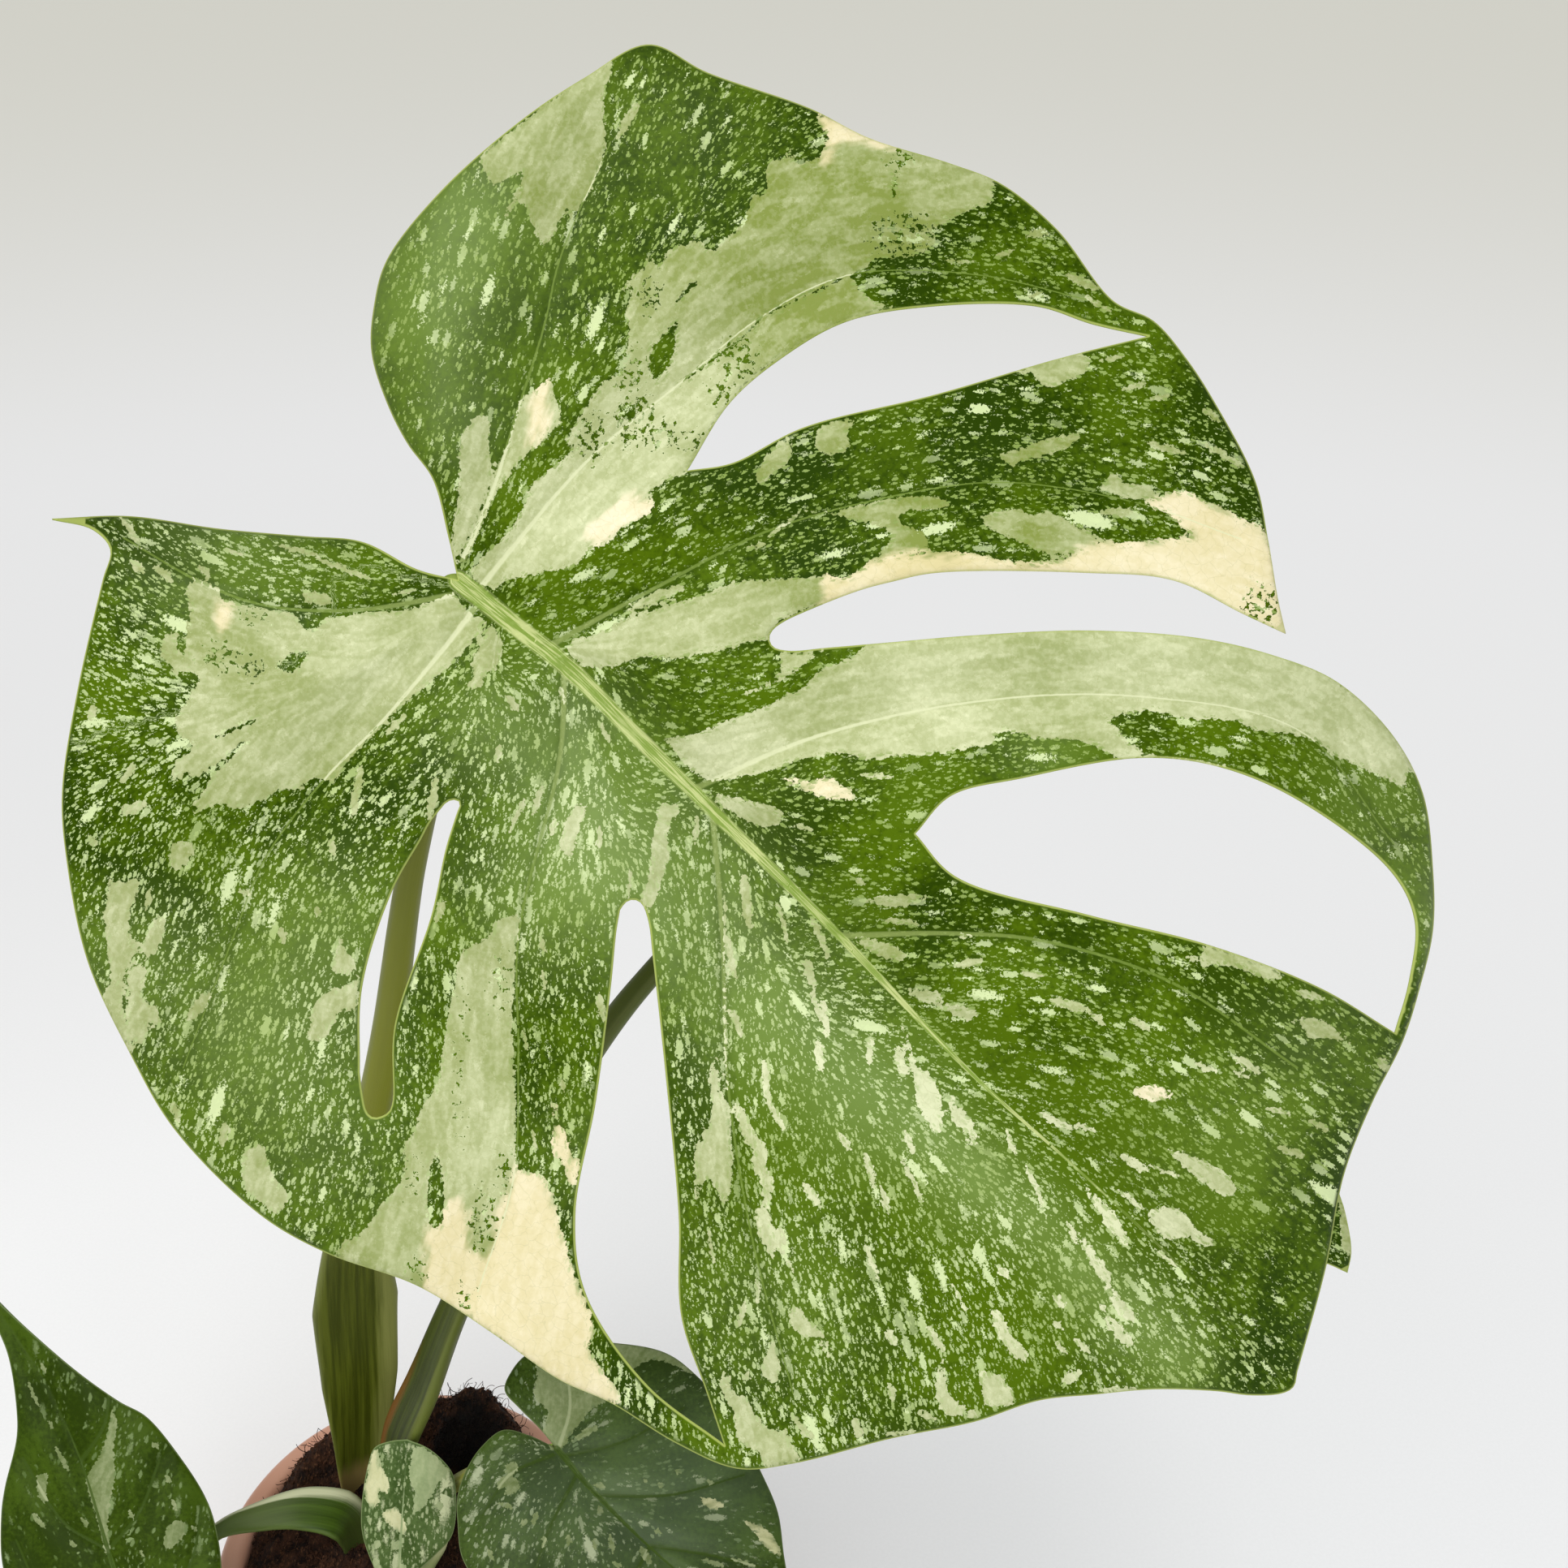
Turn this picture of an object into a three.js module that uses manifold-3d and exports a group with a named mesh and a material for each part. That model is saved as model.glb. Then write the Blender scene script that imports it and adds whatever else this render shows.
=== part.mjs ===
// A potted, variegated split-leaf plant: five leaves on winged stems, in heaped coir, in a round pot.
// Millimetres, +Z up. The origin is the middle of the pot's base, on the surface that it stands on.

import * as THREE from 'three';
import { mergeVertices } from 'three/addons/utils/BufferGeometryUtils.js';
import Module from 'manifold-3d';

const wasm = await Module();
wasm.setup();

// Driving dimensions
const CLEARANCE = 0.3;
const POT_HEIGHT = 105;
const POT_RIM_RADIUS = 60;
const POT_MOUTH_RADIUS = 51.5;
const POT_BASE_RADIUS = 42;
const POT_WALL = 3;
const POT_FLOOR = 4;
const RIM_DEPTH = 16;
const RIM_ROUND = 3.5;
const DRAIN_HOLES = 5;
const DRAIN_RADIUS = 4;
const DRAIN_CIRCLE = 24;
const COIR_SHOULDER = 8;
const STEM_TOP = 98;
const STEM_FOOT = 62;
const STEM_RADIUS = 13;
const STEM_CENTRE = [-8, 7];
const LARGE_BLADE = { thickness: 0.9, spacing: 8.2, rib: 2.2, ribWidth: 3 };
const HIDDEN_BLADE = { thickness: 0.9, spacing: 9, rib: 1.8, ribWidth: 2.6 };
const YOUNG_BLADE = { thickness: 0.8, spacing: 6.5, rib: 1, ribWidth: 1.8 };
const SMALL_BLADE = { thickness: 0.8, spacing: 4.5, rib: 0.5, ribWidth: 1.2 };

// Every leaf is drawn flat, as an eye in front of the plant sees it, on a sheet square to its gaze.
// The drawing is then curved by moving each point along its own line of sight.
const EYE = new THREE.Vector3(122.6, -319.3, 585.1);
const GAZE_DOWN = THREE.MathUtils.degToRad(31);
const GAZE = new THREE.Vector3(0, Math.cos(GAZE_DOWN), -Math.sin(GAZE_DOWN));
const ACROSS = new THREE.Vector3(1, 0, 0);
const UPWARD = new THREE.Vector3(0, Math.sin(GAZE_DOWN), Math.cos(GAZE_DOWN));

function finish(color, roughness) {
  return new THREE.MeshStandardMaterial({ color, roughness, metalness: 0 });
}

const leafGreen = finish(0x4a7428, 0.42);
const youngGreen = finish(0x46682e, 0.45);
const stemGreen = finish(0x56662a, 0.5);
const stripedGreen = finish(0x8c9a5a, 0.5);
const creamGreen = finish(0xc9c692, 0.5);
const coirBrown = finish(0x3b1d14, 0.95);
const barkTan = finish(0xa58a5c, 0.8);
const potPeach = finish(0xd9a184, 0.5);

// Solids and booleans

// A geometry with shared corners and no collapsed triangles.
function weld(geometry) {
  const plain = new THREE.BufferGeometry();
  plain.setAttribute('position', geometry.getAttribute('position'));
  plain.setIndex(geometry.getIndex());
  const welded = mergeVertices(plain, 1e-4);
  const corners = welded.getIndex().array;
  const kept = [];
  for (let i = 0; i < corners.length; i += 3) {
    const [a, b, c] = [corners[i], corners[i + 1], corners[i + 2]];
    if (a !== b && b !== c && c !== a) kept.push(a, b, c);
  }
  welded.setIndex(kept);
  return welded;
}

function toSolid(geometry) {
  const welded = weld(geometry);
  return new wasm.Manifold(new wasm.Mesh({
    numProp: 3,
    vertProperties: new Float32Array(welded.getAttribute('position').array),
    triVerts: new Uint32Array(welded.getIndex().array),
  }));
}

function toGeometry(solid) {
  const { vertProperties, triVerts } = solid.getMesh();
  const geometry = new THREE.BufferGeometry();
  geometry.setAttribute('position', new THREE.BufferAttribute(new Float32Array(vertProperties), 3));
  geometry.setIndex(new THREE.BufferAttribute(new Uint32Array(triVerts), 1));
  return geometry;
}

// What is left of a shape once others are cut away, without any loose scrap on their far side.
function carve(geometry, ...cutters) {
  const left = cutters.reduce((solid, cutter) => solid.subtract(toSolid(cutter)), toSolid(geometry));
  const pieces = left.decompose().sort((a, b) => b.volume() - a.volume());
  return toGeometry(pieces[0]);
}

function surface(points, triangles) {
  const geometry = new THREE.BufferGeometry();
  geometry.setFromPoints(points);
  geometry.setIndex(triangles.flat());
  return geometry;
}

// Flat drawings

function smoothLine(points, step) {
  const curve = new THREE.CatmullRomCurve3(
    points.map(([x, y]) => new THREE.Vector3(x, y, 0)), false, 'centripetal');
  const count = Math.max(2, Math.round(curve.getLength() / step));
  return curve.getSpacedPoints(count).map((p) => new THREE.Vector2(p.x, p.y));
}

// A closed outline of smooth runs. Each run starts at a corner and ends where the next one starts.
function outline(runs, step) {
  return runs.flatMap((run, i) => {
    const next = runs[(i + 1) % runs.length];
    return smoothLine([...run, next[0]], step).slice(0, -1);
  });
}

function distanceToSegment(p, a, b) {
  const along = b.clone().sub(a);
  const t = THREE.MathUtils.clamp(p.clone().sub(a).dot(along) / along.lengthSq(), 0, 1);
  return p.distanceTo(along.multiplyScalar(t).add(a));
}

function distanceToLine(p, line) {
  let nearest = Infinity;
  for (let i = 1; i < line.length; i += 1) {
    nearest = Math.min(nearest, distanceToSegment(p, line[i - 1], line[i]));
  }
  return nearest;
}

function isInside(p, loop) {
  let inside = false;
  loop.forEach((b, i) => {
    const a = loop[(i + loop.length - 1) % loop.length];
    const crosses = (a.y > p.y) !== (b.y > p.y);
    if (crosses && p.x < ((b.x - a.x) * (p.y - a.y)) / (b.y - a.y) + a.x) inside = !inside;
  });
  return inside;
}

// Points inside an outline: first along the veins, then an even triangular pattern between them.
function innerPoints(contour, holes, lines, spacing) {
  const edges = [contour, ...holes].map((loop) => [...loop, loop[0]]);
  const kept = [];
  const tryPoint = (p, room) => {
    if (!isInside(p, contour) || holes.some((hole) => isInside(p, hole))) return;
    if (edges.some((edge) => distanceToLine(p, edge) < room)) return;
    if (kept.some((other) => other.distanceTo(p) < room)) return;
    kept.push(p);
  };
  lines.forEach((line) => line.forEach((p) => tryPoint(p, 0.3 * spacing)));
  const box = new THREE.Box2().setFromPoints(contour);
  const rowHeight = spacing * Math.sqrt(0.75);
  let shift = 0;
  for (let y = box.min.y; y < box.max.y; y += rowHeight) {
    for (let x = box.min.x + shift; x < box.max.x; x += spacing) {
      tryPoint(new THREE.Vector2(x, y), 0.62 * spacing);
    }
    shift = spacing / 2 - shift;
  }
  return kept;
}

function turn(a, b, c) {
  return (b.x - a.x) * (c.y - a.y) - (b.y - a.y) * (c.x - a.x);
}

// 1 for a loop that runs anticlockwise, -1 for one that runs clockwise.
function turnOf(loop) {
  return Math.sign(THREE.ShapeUtils.area(loop));
}

function angleAt(corner, a, b) {
  const [u, v] = [a.clone().sub(corner), b.clone().sub(corner)];
  return Math.acos(THREE.MathUtils.clamp(u.dot(v) / (u.length() * v.length()), -1, 1));
}

// Turns the shared edge of two triangles wherever that makes them less slender.
function evenOut(points, triangles) {
  let changed = true;
  for (let pass = 0; changed && pass < 200; pass += 1) {
    changed = false;
    const owners = new Map();
    const touched = new Set();
    for (let t = 0; t < triangles.length; t += 1) {
      for (let k = 0; k < 3 && !touched.has(t); k += 1) {
        const [a, b, c] = [0, 1, 2].map((n) => triangles[t][(k + n) % 3]);
        const key = `${Math.min(a, b)} ${Math.max(a, b)}`;
        const other = owners.get(key);
        if (other === undefined || touched.has(other)) {
          owners.set(key, t);
          continue;
        }
        const d = triangles[other].find((corner) => corner !== a && corner !== b);
        const [pa, pb, pc, pd] = [a, b, c, d].map((n) => points[n]);
        const convex = turn(pc, pa, pd) > 1e-6 && turn(pd, pb, pc) > 1e-6;
        if (convex && angleAt(pc, pa, pb) + angleAt(pd, pa, pb) > Math.PI + 1e-6) {
          triangles[t] = [c, a, d];
          triangles[other] = [d, b, c];
          touched.add(t).add(other);
          changed = true;
        }
      }
    }
  }
}

// Even anticlockwise triangles over an outline with holes, with the inner points as corners too.
function triangulate(contour, holes, inner) {
  const points = [...contour, ...holes.flat()];
  const triangles = THREE.ShapeUtils.triangulateShape([...contour], holes.map((hole) => [...hole]))
    .map(([a, b, c]) => (turn(points[a], points[b], points[c]) > 0 ? [a, b, c] : [a, c, b]));
  inner.forEach((p) => {
    const around = triangles.findIndex((corners) => corners.every(
      (a, k) => turn(points[a], points[corners[(k + 1) % 3]], p) > 1e-6));
    if (around < 0) return;
    const [a, b, c] = triangles[around];
    const added = points.push(p) - 1;
    triangles[around] = [a, b, added];
    triangles.push([b, c, added], [c, a, added]);
  });
  evenOut(points, triangles);
  return { points, triangles };
}

// Blades

// A point of a leaf's drawing, brought nearer to the eye by its relief.
function onSight(base, { x, y }, relief) {
  const drawn = base.clone().addScaledVector(ACROSS, x).addScaledVector(UPWARD, y).sub(EYE);
  return drawn.multiplyScalar(1 - relief / drawn.dot(GAZE)).add(EYE);
}

// The relief that all the leaves share: a valley at the midrib, grooves at the veins, drooping ends.
function reliefOf({ midrib, veins, form, extra = () => 0 }) {
  return (p) => {
    const fromMidrib = distanceToLine(p, midrib);
    const fromVein = Math.min(fromMidrib, ...veins.map((vein) => distanceToLine(p, vein)));
    const fromBase = p.length();
    const valley = form.valley * form.valleyReach * (1 - Math.exp(-fromMidrib / form.valleyReach));
    const groove = form.quilt * (1 - Math.exp(-((fromVein / form.grooveWidth) ** 2)));
    const droop = form.droop * Math.max(0, fromBase - form.droopFrom) ** 2;
    const wave = form.wave * Math.sin(form.waves * Math.atan2(p.y, p.x)) * (fromBase / form.droopFrom);
    return form.lean[0] * p.x + form.lean[1] * p.y + valley + groove + wave
      - form.arch * fromMidrib ** 2 - droop + extra(p);
  };
}

// A loop grown outwards, away from the blade's material, which lies on the given side of it.
function grown(loop, amount, side) {
  return loop.map((p, i) => {
    const along = loop[(i + 1) % loop.length].clone().sub(loop[(i + loop.length - 1) % loop.length]);
    along.setLength(side * amount);
    return new THREE.Vector2(p.x + along.y, p.y - along.x);
  });
}

// A closed blade: the same triangles on both faces, joined by a narrow edge, with the rib at the back.
// A swollen one is a little larger all over, to cut room for it.
function bladeGeometry(leaf, swell = 0) {
  const { base, contour, holes, points, triangles, midrib, relief, make } = leaf;
  const loops = [grown(contour, 1.5 * swell, turnOf(contour)),
    ...holes.map((hole) => grown(hole, 1.5 * swell, -turnOf(hole)))].flat();
  const middle = points.map((p, i) => onSight(base, loops[i] ?? p, relief(p)));
  const skin = surface(middle, triangles);
  skin.computeVertexNormals();
  const facing = skin.getAttribute('normal');
  const shifted = (amount) => middle.map((p, i) => {
    const normal = new THREE.Vector3().fromBufferAttribute(facing, i);
    return p.clone().addScaledVector(normal, amount(points[i]));
  });
  const front = shifted(() => make.thickness / 2 + swell);
  const back = shifted((p) => {
    const rib = make.rib * Math.exp(-((distanceToLine(p, midrib) / make.ribWidth) ** 2));
    return -(make.thickness / 2 + rib + swell);
  });

  const count = points.length;
  const faces = [...triangles, ...triangles.map(([a, b, c]) => [a + count, c + count, b + count])];
  const directed = new Set(triangles.flatMap(([a, b, c]) => [`${a} ${b}`, `${b} ${c}`, `${c} ${a}`]));
  directed.forEach((edge) => {
    const [a, b] = edge.split(' ').map(Number);
    if (directed.has(`${b} ${a}`)) return;
    faces.push([b, a, a + count], [b, a + count, b + count]);
  });
  return surface([...front, ...back], faces);
}

function leaf({ base, edge, slits = [], midrib, veins = [], form, make, extra }) {
  const step = make.spacing;
  const lines = veins.map((vein) => smoothLine(vein, step));
  const middle = smoothLine(midrib, step);
  const ribSides = [-1, 1].map((side) => grown(middle, make.ribWidth, side).slice(1, -1));
  const contour = outline(edge, step * 0.8);
  const holes = slits.map((slit) => outline(slit, step * 0.8));
  const inner = innerPoints(contour, holes, [middle, ...ribSides, ...lines], step);
  return {
    base: new THREE.Vector3(...base),
    contour,
    holes,
    ...triangulate(contour, holes, inner),
    midrib: middle,
    relief: reliefOf({ midrib: middle, veins: lines, form, extra }),
    make,
  };
}

// Leaf stems

// A closed stem through stations [x, y, z, width, thickness]. Its hollow side, with the wings on
// either hand, looks towards `hollowSide`, and `wings` says how far they curl up there.
function stemGeometry({ stations, hollowSide, wings, sides = 12, step = 14 }, swell = 0) {
  const path = new THREE.CatmullRomCurve3(
    stations.map(([x, y, z]) => new THREE.Vector3(x, y, z)), false, 'centripetal');
  const rings = Math.round(path.getLength() / step);
  const points = [];
  for (let i = 0; i <= rings; i += 1) {
    const t = i / rings;
    const place = t * (stations.length - 1);
    const lower = Math.min(Math.floor(place), stations.length - 2);
    const [, , , width, thickness] = stations[lower].map(
      (value, n) => THREE.MathUtils.lerp(value, stations[lower + 1][n], place - lower));
    const along = path.getTangent(t);
    const sideways = along.clone().cross(new THREE.Vector3(...hollowSide)).normalize();
    const outward = sideways.clone().cross(along);
    const halfWidth = width / 2 + swell;
    const halfThickness = thickness / 2 + swell;
    const curl = wings * (1 - t) ** 2 * halfThickness;
    for (let k = 0; k < sides; k += 1) {
      const angle = (2 * Math.PI * k) / sides;
      const lift = halfThickness * Math.sin(angle) + curl * (2 * Math.cos(angle) ** 2 - 1);
      points.push(path.getPoint(t)
        .addScaledVector(sideways, halfWidth * Math.cos(angle))
        .addScaledVector(outward, lift));
    }
  }
  points.push(path.getPoint(0), path.getPoint(1));
  const [foot, tip] = [points.length - 2, points.length - 1];
  const faces = [];
  for (let k = 0; k < sides; k += 1) {
    const next = (k + 1) % sides;
    for (let i = 0; i < rings; i += 1) {
      const [a, b] = [i * sides + k, i * sides + next];
      faces.push([b, a, b + sides], [b + sides, a, a + sides]);
    }
    faces.push([foot, k, next], [tip, rings * sides + next, rings * sides + k]);
  }
  return surface(points, faces);
}

// The large leaf's drawing: five lobes, parted by slits that mostly close again at the margin
const mainLeaf = leaf({
  base: [58.4, -27.1, 456.4],
  make: LARGE_BLADE,
  edge: [
    [[0, 0], [-2, 9], [-5, 20], [-10, 27], [-14, 35], [-17, 45], [-16.5, 54], [-14, 63], [-3, 77],
      [13, 91], [25, 99], [37.5, 105.5], [49, 100], [69, 93], [81, 87], [97, 82], [107, 78], [118, 69],
      [129, 55], [137, 51], [143.5, 43.5], [149, 35], [157, 19.5], [159.5, 8], [161.5, -4]],
    [[163, -10.5], [154.5, -6.5], [141, 0], [124, 1.5], [94, 2], [77, -1]],
    [[62, -11], [70, -13], [101, -11], [124, -10], [146, -11.5], [161, -15], [173, -20], [184, -30.5],
      [190, -42], [192, -57], [192, -69], [189.5, -80], [186, -91], [180, -103], [174.5, -117],
      [171, -135], [167, -150]],
    [[165, -160.5], [154, -160], [132, -160], [115, -161], [97, -166], [81, -170.5], [66, -174],
      [55, -175], [43, -170], [30, -162], [20, -157.5], [7, -148.5], [-8, -139], [-26, -132.5],
      [-39, -125], [-56, -108], [-65, -92.5], [-73, -75], [-77, -56], [-78, -42], [-75, -22],
      [-70, 0], [-68.5, 6], [-72, 10]],
    [[-80, 12], [-65, 12.5], [-47, 10], [-30, 8.5], [-19, 7.5], [-8, 2]],
  ],
  slits: [
    [[[45, 21.5], [53.5, 35], [64, 44], [76.5, 51], [93.5, 54], [114, 54], [125, 50.5]],
      [[136, 48], [118, 43.5], [94, 36.5], [68, 30], [54, 23]]],
    [[[90, -50], [97, -42.5], [111, -39], [134, -35], [149, -36.5], [165, -43], [184, -57.5],
      [188, -67], [186.5, -79]],
    [[183.5, -89], [170, -80.5], [148, -72], [124, -66], [98, -58.5]]],
    [[[35, -63], [38.5, -75], [41, -98], [43.5, -125], [44, -145], [49, -160]],
      [[52.5, -170.5], [37, -158.5], [25, -140.5], [23, -125], [27, -103], [30, -80], [31, -69]]],
    [[[0, -43.5], [-5, -66], [-12.5, -88], [-13, -103]],
      [[-16, -106], [-19.5, -98], [-19, -80], [-13, -61], [-5.5, -48]]],
  ],
  midrib: [[0, 0], [22, -14], [47, -39], [78, -71], [102, -98], [122, -116], [142, -135], [162, -157]],
  veins: [
    [[1, 4], [7, 18], [12, 34], [17, 50], [20, 63], [30, 86]],
    [[6, 2], [25, 23], [44, 39], [60, 52], [77, 60], [102, 60], [124, 55]],
    [[18, -11], [38, -2], [62, 10], [94, 18], [110, 19], [134, 15], [154, 8]],
    [[47, -39], [70, -31], [102, -24], [134, -23], [166, -30], [184, -52]],
    [[77, -70], [97, -69.5], [115, -71], [140, -79], [165, -96]],
    [[-1, -3], [-20, -6], [-38, -5], [-52, 0], [-66, 8]],
    [[3, -6], [-4, -15], [-15, -28], [-26, -39], [-38, -55], [-44, -70], [-54, -96]],
    [[22, -14], [20, -35], [12, -70], [12, -94], [11, -118], [4, -140]],
    [[52, -44], [52, -70], [53, -98], [58, -130], [66, -160]],
  ],
  form: {
    lean: [0, 0], valley: 0.3, valleyReach: 30, arch: 0.0016, quilt: 3, grooveWidth: 9,
    droop: 0.0022, droopFrom: 110, wave: 1.2, waves: 9,
  },
  // Above its uppermost vein the left lobe folds back, and the ends of the right lobes roll back.
  extra: (p) => {
    const crest = Math.max(0, p.y + 3 - 9 * Math.max(0, (-p.x - 38) / 30) ** 1.5);
    const folded = p.x < -10 ? Math.min(1, (-p.x - 10) / 15) * 1.3 * crest : 0;
    const rolled = 0.012 * Math.max(0, p.x - 150) ** 2;
    return -folded - rolled;
  },
});

// The second large leaf, which hangs behind the first
const secondLeaf = leaf({
  base: [110, 14, 345.3],
  make: HIDDEN_BLADE,
  edge: [
    [[0, 0], [-5, 6], [-7, 14.5], [-1, 23], [12, 25], [28, 20], [46, 9], [61, 3], [82, -3], [102, -9],
      [124, -15], [140, -22], [152, -32], [157, -44], [154, -58], [155, -68], [158.5, -75],
      [158.5, -85]],
    [[156, -90.5], [150, -88], [143, -88], [122, -97], [102, -105], [80, -110], [60, -113], [40, -112],
      [20, -107], [6, -95], [-5, -76], [-9, -56], [-10, -35], [-8, -14], [-4, -4]],
  ],
  slits: [
    [[[50, -12], [66, -7], [86, -10]], [[104, -20], [84, -22], [66, -20]]],
    [[[38, -56], [46, -72]], [[50, -92], [38, -84], [33, -70]]],
    [[[70, -68], [84, -80]], [[92, -94], [76, -90], [68, -80]]],
  ],
  midrib: [[0, 0], [30, -16], [70, -42], [110, -64], [146, -80]],
  veins: [
    [[2, 0], [22, 4], [44, 0]],
    [[30, -16], [60, -14], [90, -16], [120, -22]],
    [[70, -42], [100, -42], [134, -46]],
    [[0, -4], [0, -30], [4, -60]],
    [[30, -16], [27, -50], [28, -90]],
    [[52, -31], [56, -62], [66, -100]],
    [[88, -53], [96, -72], [112, -92]],
  ],
  form: {
    lean: [-0.12, 0.2], valley: 0.35, valleyReach: 24, arch: 0.002, quilt: 2.5, grooveWidth: 8,
    droop: 0.003, droopFrom: 80, wave: 1, waves: 7,
  },
});

// The young leaf at the left: uncut and pointed
const leftLeaf = leaf({
  base: [-66.6, -43.6, 128],
  make: YOUNG_BLADE,
  edge: [
    [[0, 0], [4.5, -5], [10, -6.5], [17.5, -2.5], [23, 7], [24, 20], [22, 33], [19, 41], [12, 52],
      [2, 64], [-6, 68.5], [-18, 77], [-32, 89]],
    [[-47, 103], [-43, 93], [-38.5, 82], [-36, 66], [-36, 58], [-39.5, 43], [-40.5, 35], [-40, 20],
      [-35, 7], [-24.5, -3], [-12.5, -7], [-4, -5]],
  ],
  midrib: [[0, 0], [-7.5, 20], [-17, 51], [-28, 75], [-44, 99]],
  veins: [
    [[0, 1], [9, 10], [16, 24], [18, 38]],
    [[-9, 25], [0, 36], [6, 52]],
    [[-17, 51], [-10, 62], [-9, 70]],
    [[-1, 1], [-14, 3], [-28, 12], [-36, 28]],
    [[-9, 25], [-22, 33], [-34, 52]],
  ],
  form: {
    lean: [0, -0.2], valley: 0.3, valleyReach: 14, arch: 0.006, quilt: 1.2, grooveWidth: 4,
    droop: 0.002, droopFrom: 50, wave: 0.5, waves: 5,
  },
});

// The young heart-shaped leaf at the right, which lies almost level
const rightLeaf = leaf({
  base: [54.7, -10.1, 167.7],
  make: YOUNG_BLADE,
  edge: [
    [[0, 0], [-5, 6], [-11, 12], [-15.5, 17.5], [-13.5, 23], [-9, 28], [1, 31.5], [17, 31.5],
      [32.5, 28.5], [42, 21.5], [53, 8.5], [61, -7], [66, -19], [68, -33], [71, -48]],
    [[77, -64], [59, -61], [37, -59.5], [13, -57], [-6, -51], [-21, -42.5], [-28, -33],
      [-29.5, -22.5], [-29.5, -14], [-26.5, -5.5], [-22, 1], [-16, 5.5], [-8.5, 4]],
  ],
  midrib: [[0, 0], [12, -14], [40, -40], [73, -61]],
  veins: [
    [[1, 1], [4, 12], [3, 24]],
    [[3, -2], [20, 2], [38, 12]],
    [[12, -14], [34, -14], [56, -8]],
    [[28, -29], [46, -32], [62, -36]],
    [[-1, -2], [-14, -8], [-22, -20]],
    [[6, -8], [-2, -24], [-8, -42]],
    [[28, -29], [22, -42], [22, -53]],
  ],
  form: {
    lean: [0.06, -0.7], valley: 0.35, valleyReach: 12, arch: 0.004, quilt: 1.6, grooveWidth: 5,
    droop: 0.003, droopFrom: 45, wave: 0.8, waves: 5,
  },
});

// The smallest leaf, which stands upright at the front
const smallLeaf = leaf({
  base: [2.4, -19.8, 113],
  make: SMALL_BLADE,
  edge: [
    [[0, 0], [-5, 3], [-8, 8.5], [-11, 18], [-11, 27], [-9, 39], [-7, 44], [-2, 46]],
    [[3, 46.5], [9, 44], [13.5, 40.5], [17, 36], [18, 31], [18, 22], [16.5, 16], [11.5, 10.5],
      [5, 4.5]],
  ],
  midrib: [[0, 0], [1, 15], [2, 30], [3, 45]],
  form: {
    lean: [0, 0.12], valley: 0.4, valleyReach: 6, arch: 0.02, quilt: 0, grooveWidth: 3,
    droop: 0.008, droopFrom: 26, wave: 0.3, waves: 4,
  },
});

// Leaf stems, from the buried stem up to the blades
const mainStem = {
  hollowSide: [0.5, -1, 0],
  wings: 0.9,
  stations: [
    [-17, 18, 94, 13, 6], [-18, 20, 112, 14, 7], [-16, 23, 135, 19, 8], [-13.5, 23, 160, 22, 8.5],
    [-9.5, 20, 198, 21, 8.5], [-2, 14, 236, 15, 8], [7, 8, 276, 9, 7.5], [20, 0, 320, 7.5, 7],
    [35.5, -10, 374, 6.5, 6.2], [49, -18, 418, 6, 6], [56, -24, 444, 6.2, 6.2], [58, -28, 456, 6, 6],
  ],
};
const secondStem = {
  hollowSide: [-1, -0.3, 0.4],
  wings: 0.6,
  stations: [
    [-6, 10, 94, 13, 6], [-6, 11, 112, 15, 6.5], [0, 12, 141, 17, 7], [11, 11, 169, 15, 7.5],
    [24, 10, 204, 11, 7.5], [48, 10, 259, 8.5, 7.5], [69, 12, 299, 7, 7], [85, 14, 323, 6.2, 6.2],
    [102, 16, 342, 5.6, 5.6], [110, 14.6, 346, 5, 5],
  ],
};
const leftStem = {
  hollowSide: [0.3, 0.3, 1],
  wings: 0.7,
  step: 9,
  stations: [
    [-15, 1, 94, 10, 5], [-15.5, 1, 110, 11, 5.5], [-19, 0, 121, 13, 6], [-30, -1, 125.5, 11, 6],
    [-43, -4, 126, 8, 5.2], [-55, -9, 125.5, 5, 4.8], [-63, -23, 125, 4.4, 4.4],
    [-66, -36, 125.5, 4, 4], [-66.6, -43, 127.6, 3.6, 3.6],
  ],
};
const rightStem = {
  hollowSide: [-0.6, 0.2, 1],
  wings: 0.5,
  sides: 10,
  step: 9,
  stations: [
    [2, 3, 94, 8, 4.5], [5, 4, 110, 8, 4.5], [14, 4, 127, 7, 4.5], [28, -1, 145, 5, 4.4],
    [43, -7, 160, 4.4, 4.2], [51, -9.5, 165.5, 4, 4], [54.5, -10.2, 167.4, 3.6, 3.6],
  ],
};
const smallStem = {
  hollowSide: [0, 1, 0.2],
  wings: 0.4,
  sides: 8,
  step: 6,
  stations: [
    [-3, -5, 94, 6, 4], [-2, -10, 103, 5, 3.6], [0.5, -17, 109, 3.6, 3], [2.4, -19.8, 113.4, 3, 2.6],
  ],
};
const youngSheath = {
  hollowSide: [-0.4, 1, 0],
  wings: 0.3,
  sides: 8,
  step: 5,
  stations: [
    [6, -10, 98, 5, 4], [8.5, -13, 111, 6.5, 4.5], [14, -11, 121, 6, 4], [18.7, -8.4, 129, 1.6, 1.2],
  ],
};

// Pot, buried stem and coir

function round(profile, segments) {
  const points = profile.map(([r, z]) => new THREE.Vector2(r, z));
  return new THREE.LatheGeometry(points, segments).rotateX(Math.PI / 2);
}

function potInnerRadius(z) {
  const slope = (POT_MOUTH_RADIUS - (POT_BASE_RADIUS - POT_WALL)) / (POT_HEIGHT - POT_FLOOR);
  return POT_MOUTH_RADIUS - slope * (POT_HEIGHT - z);
}

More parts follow.
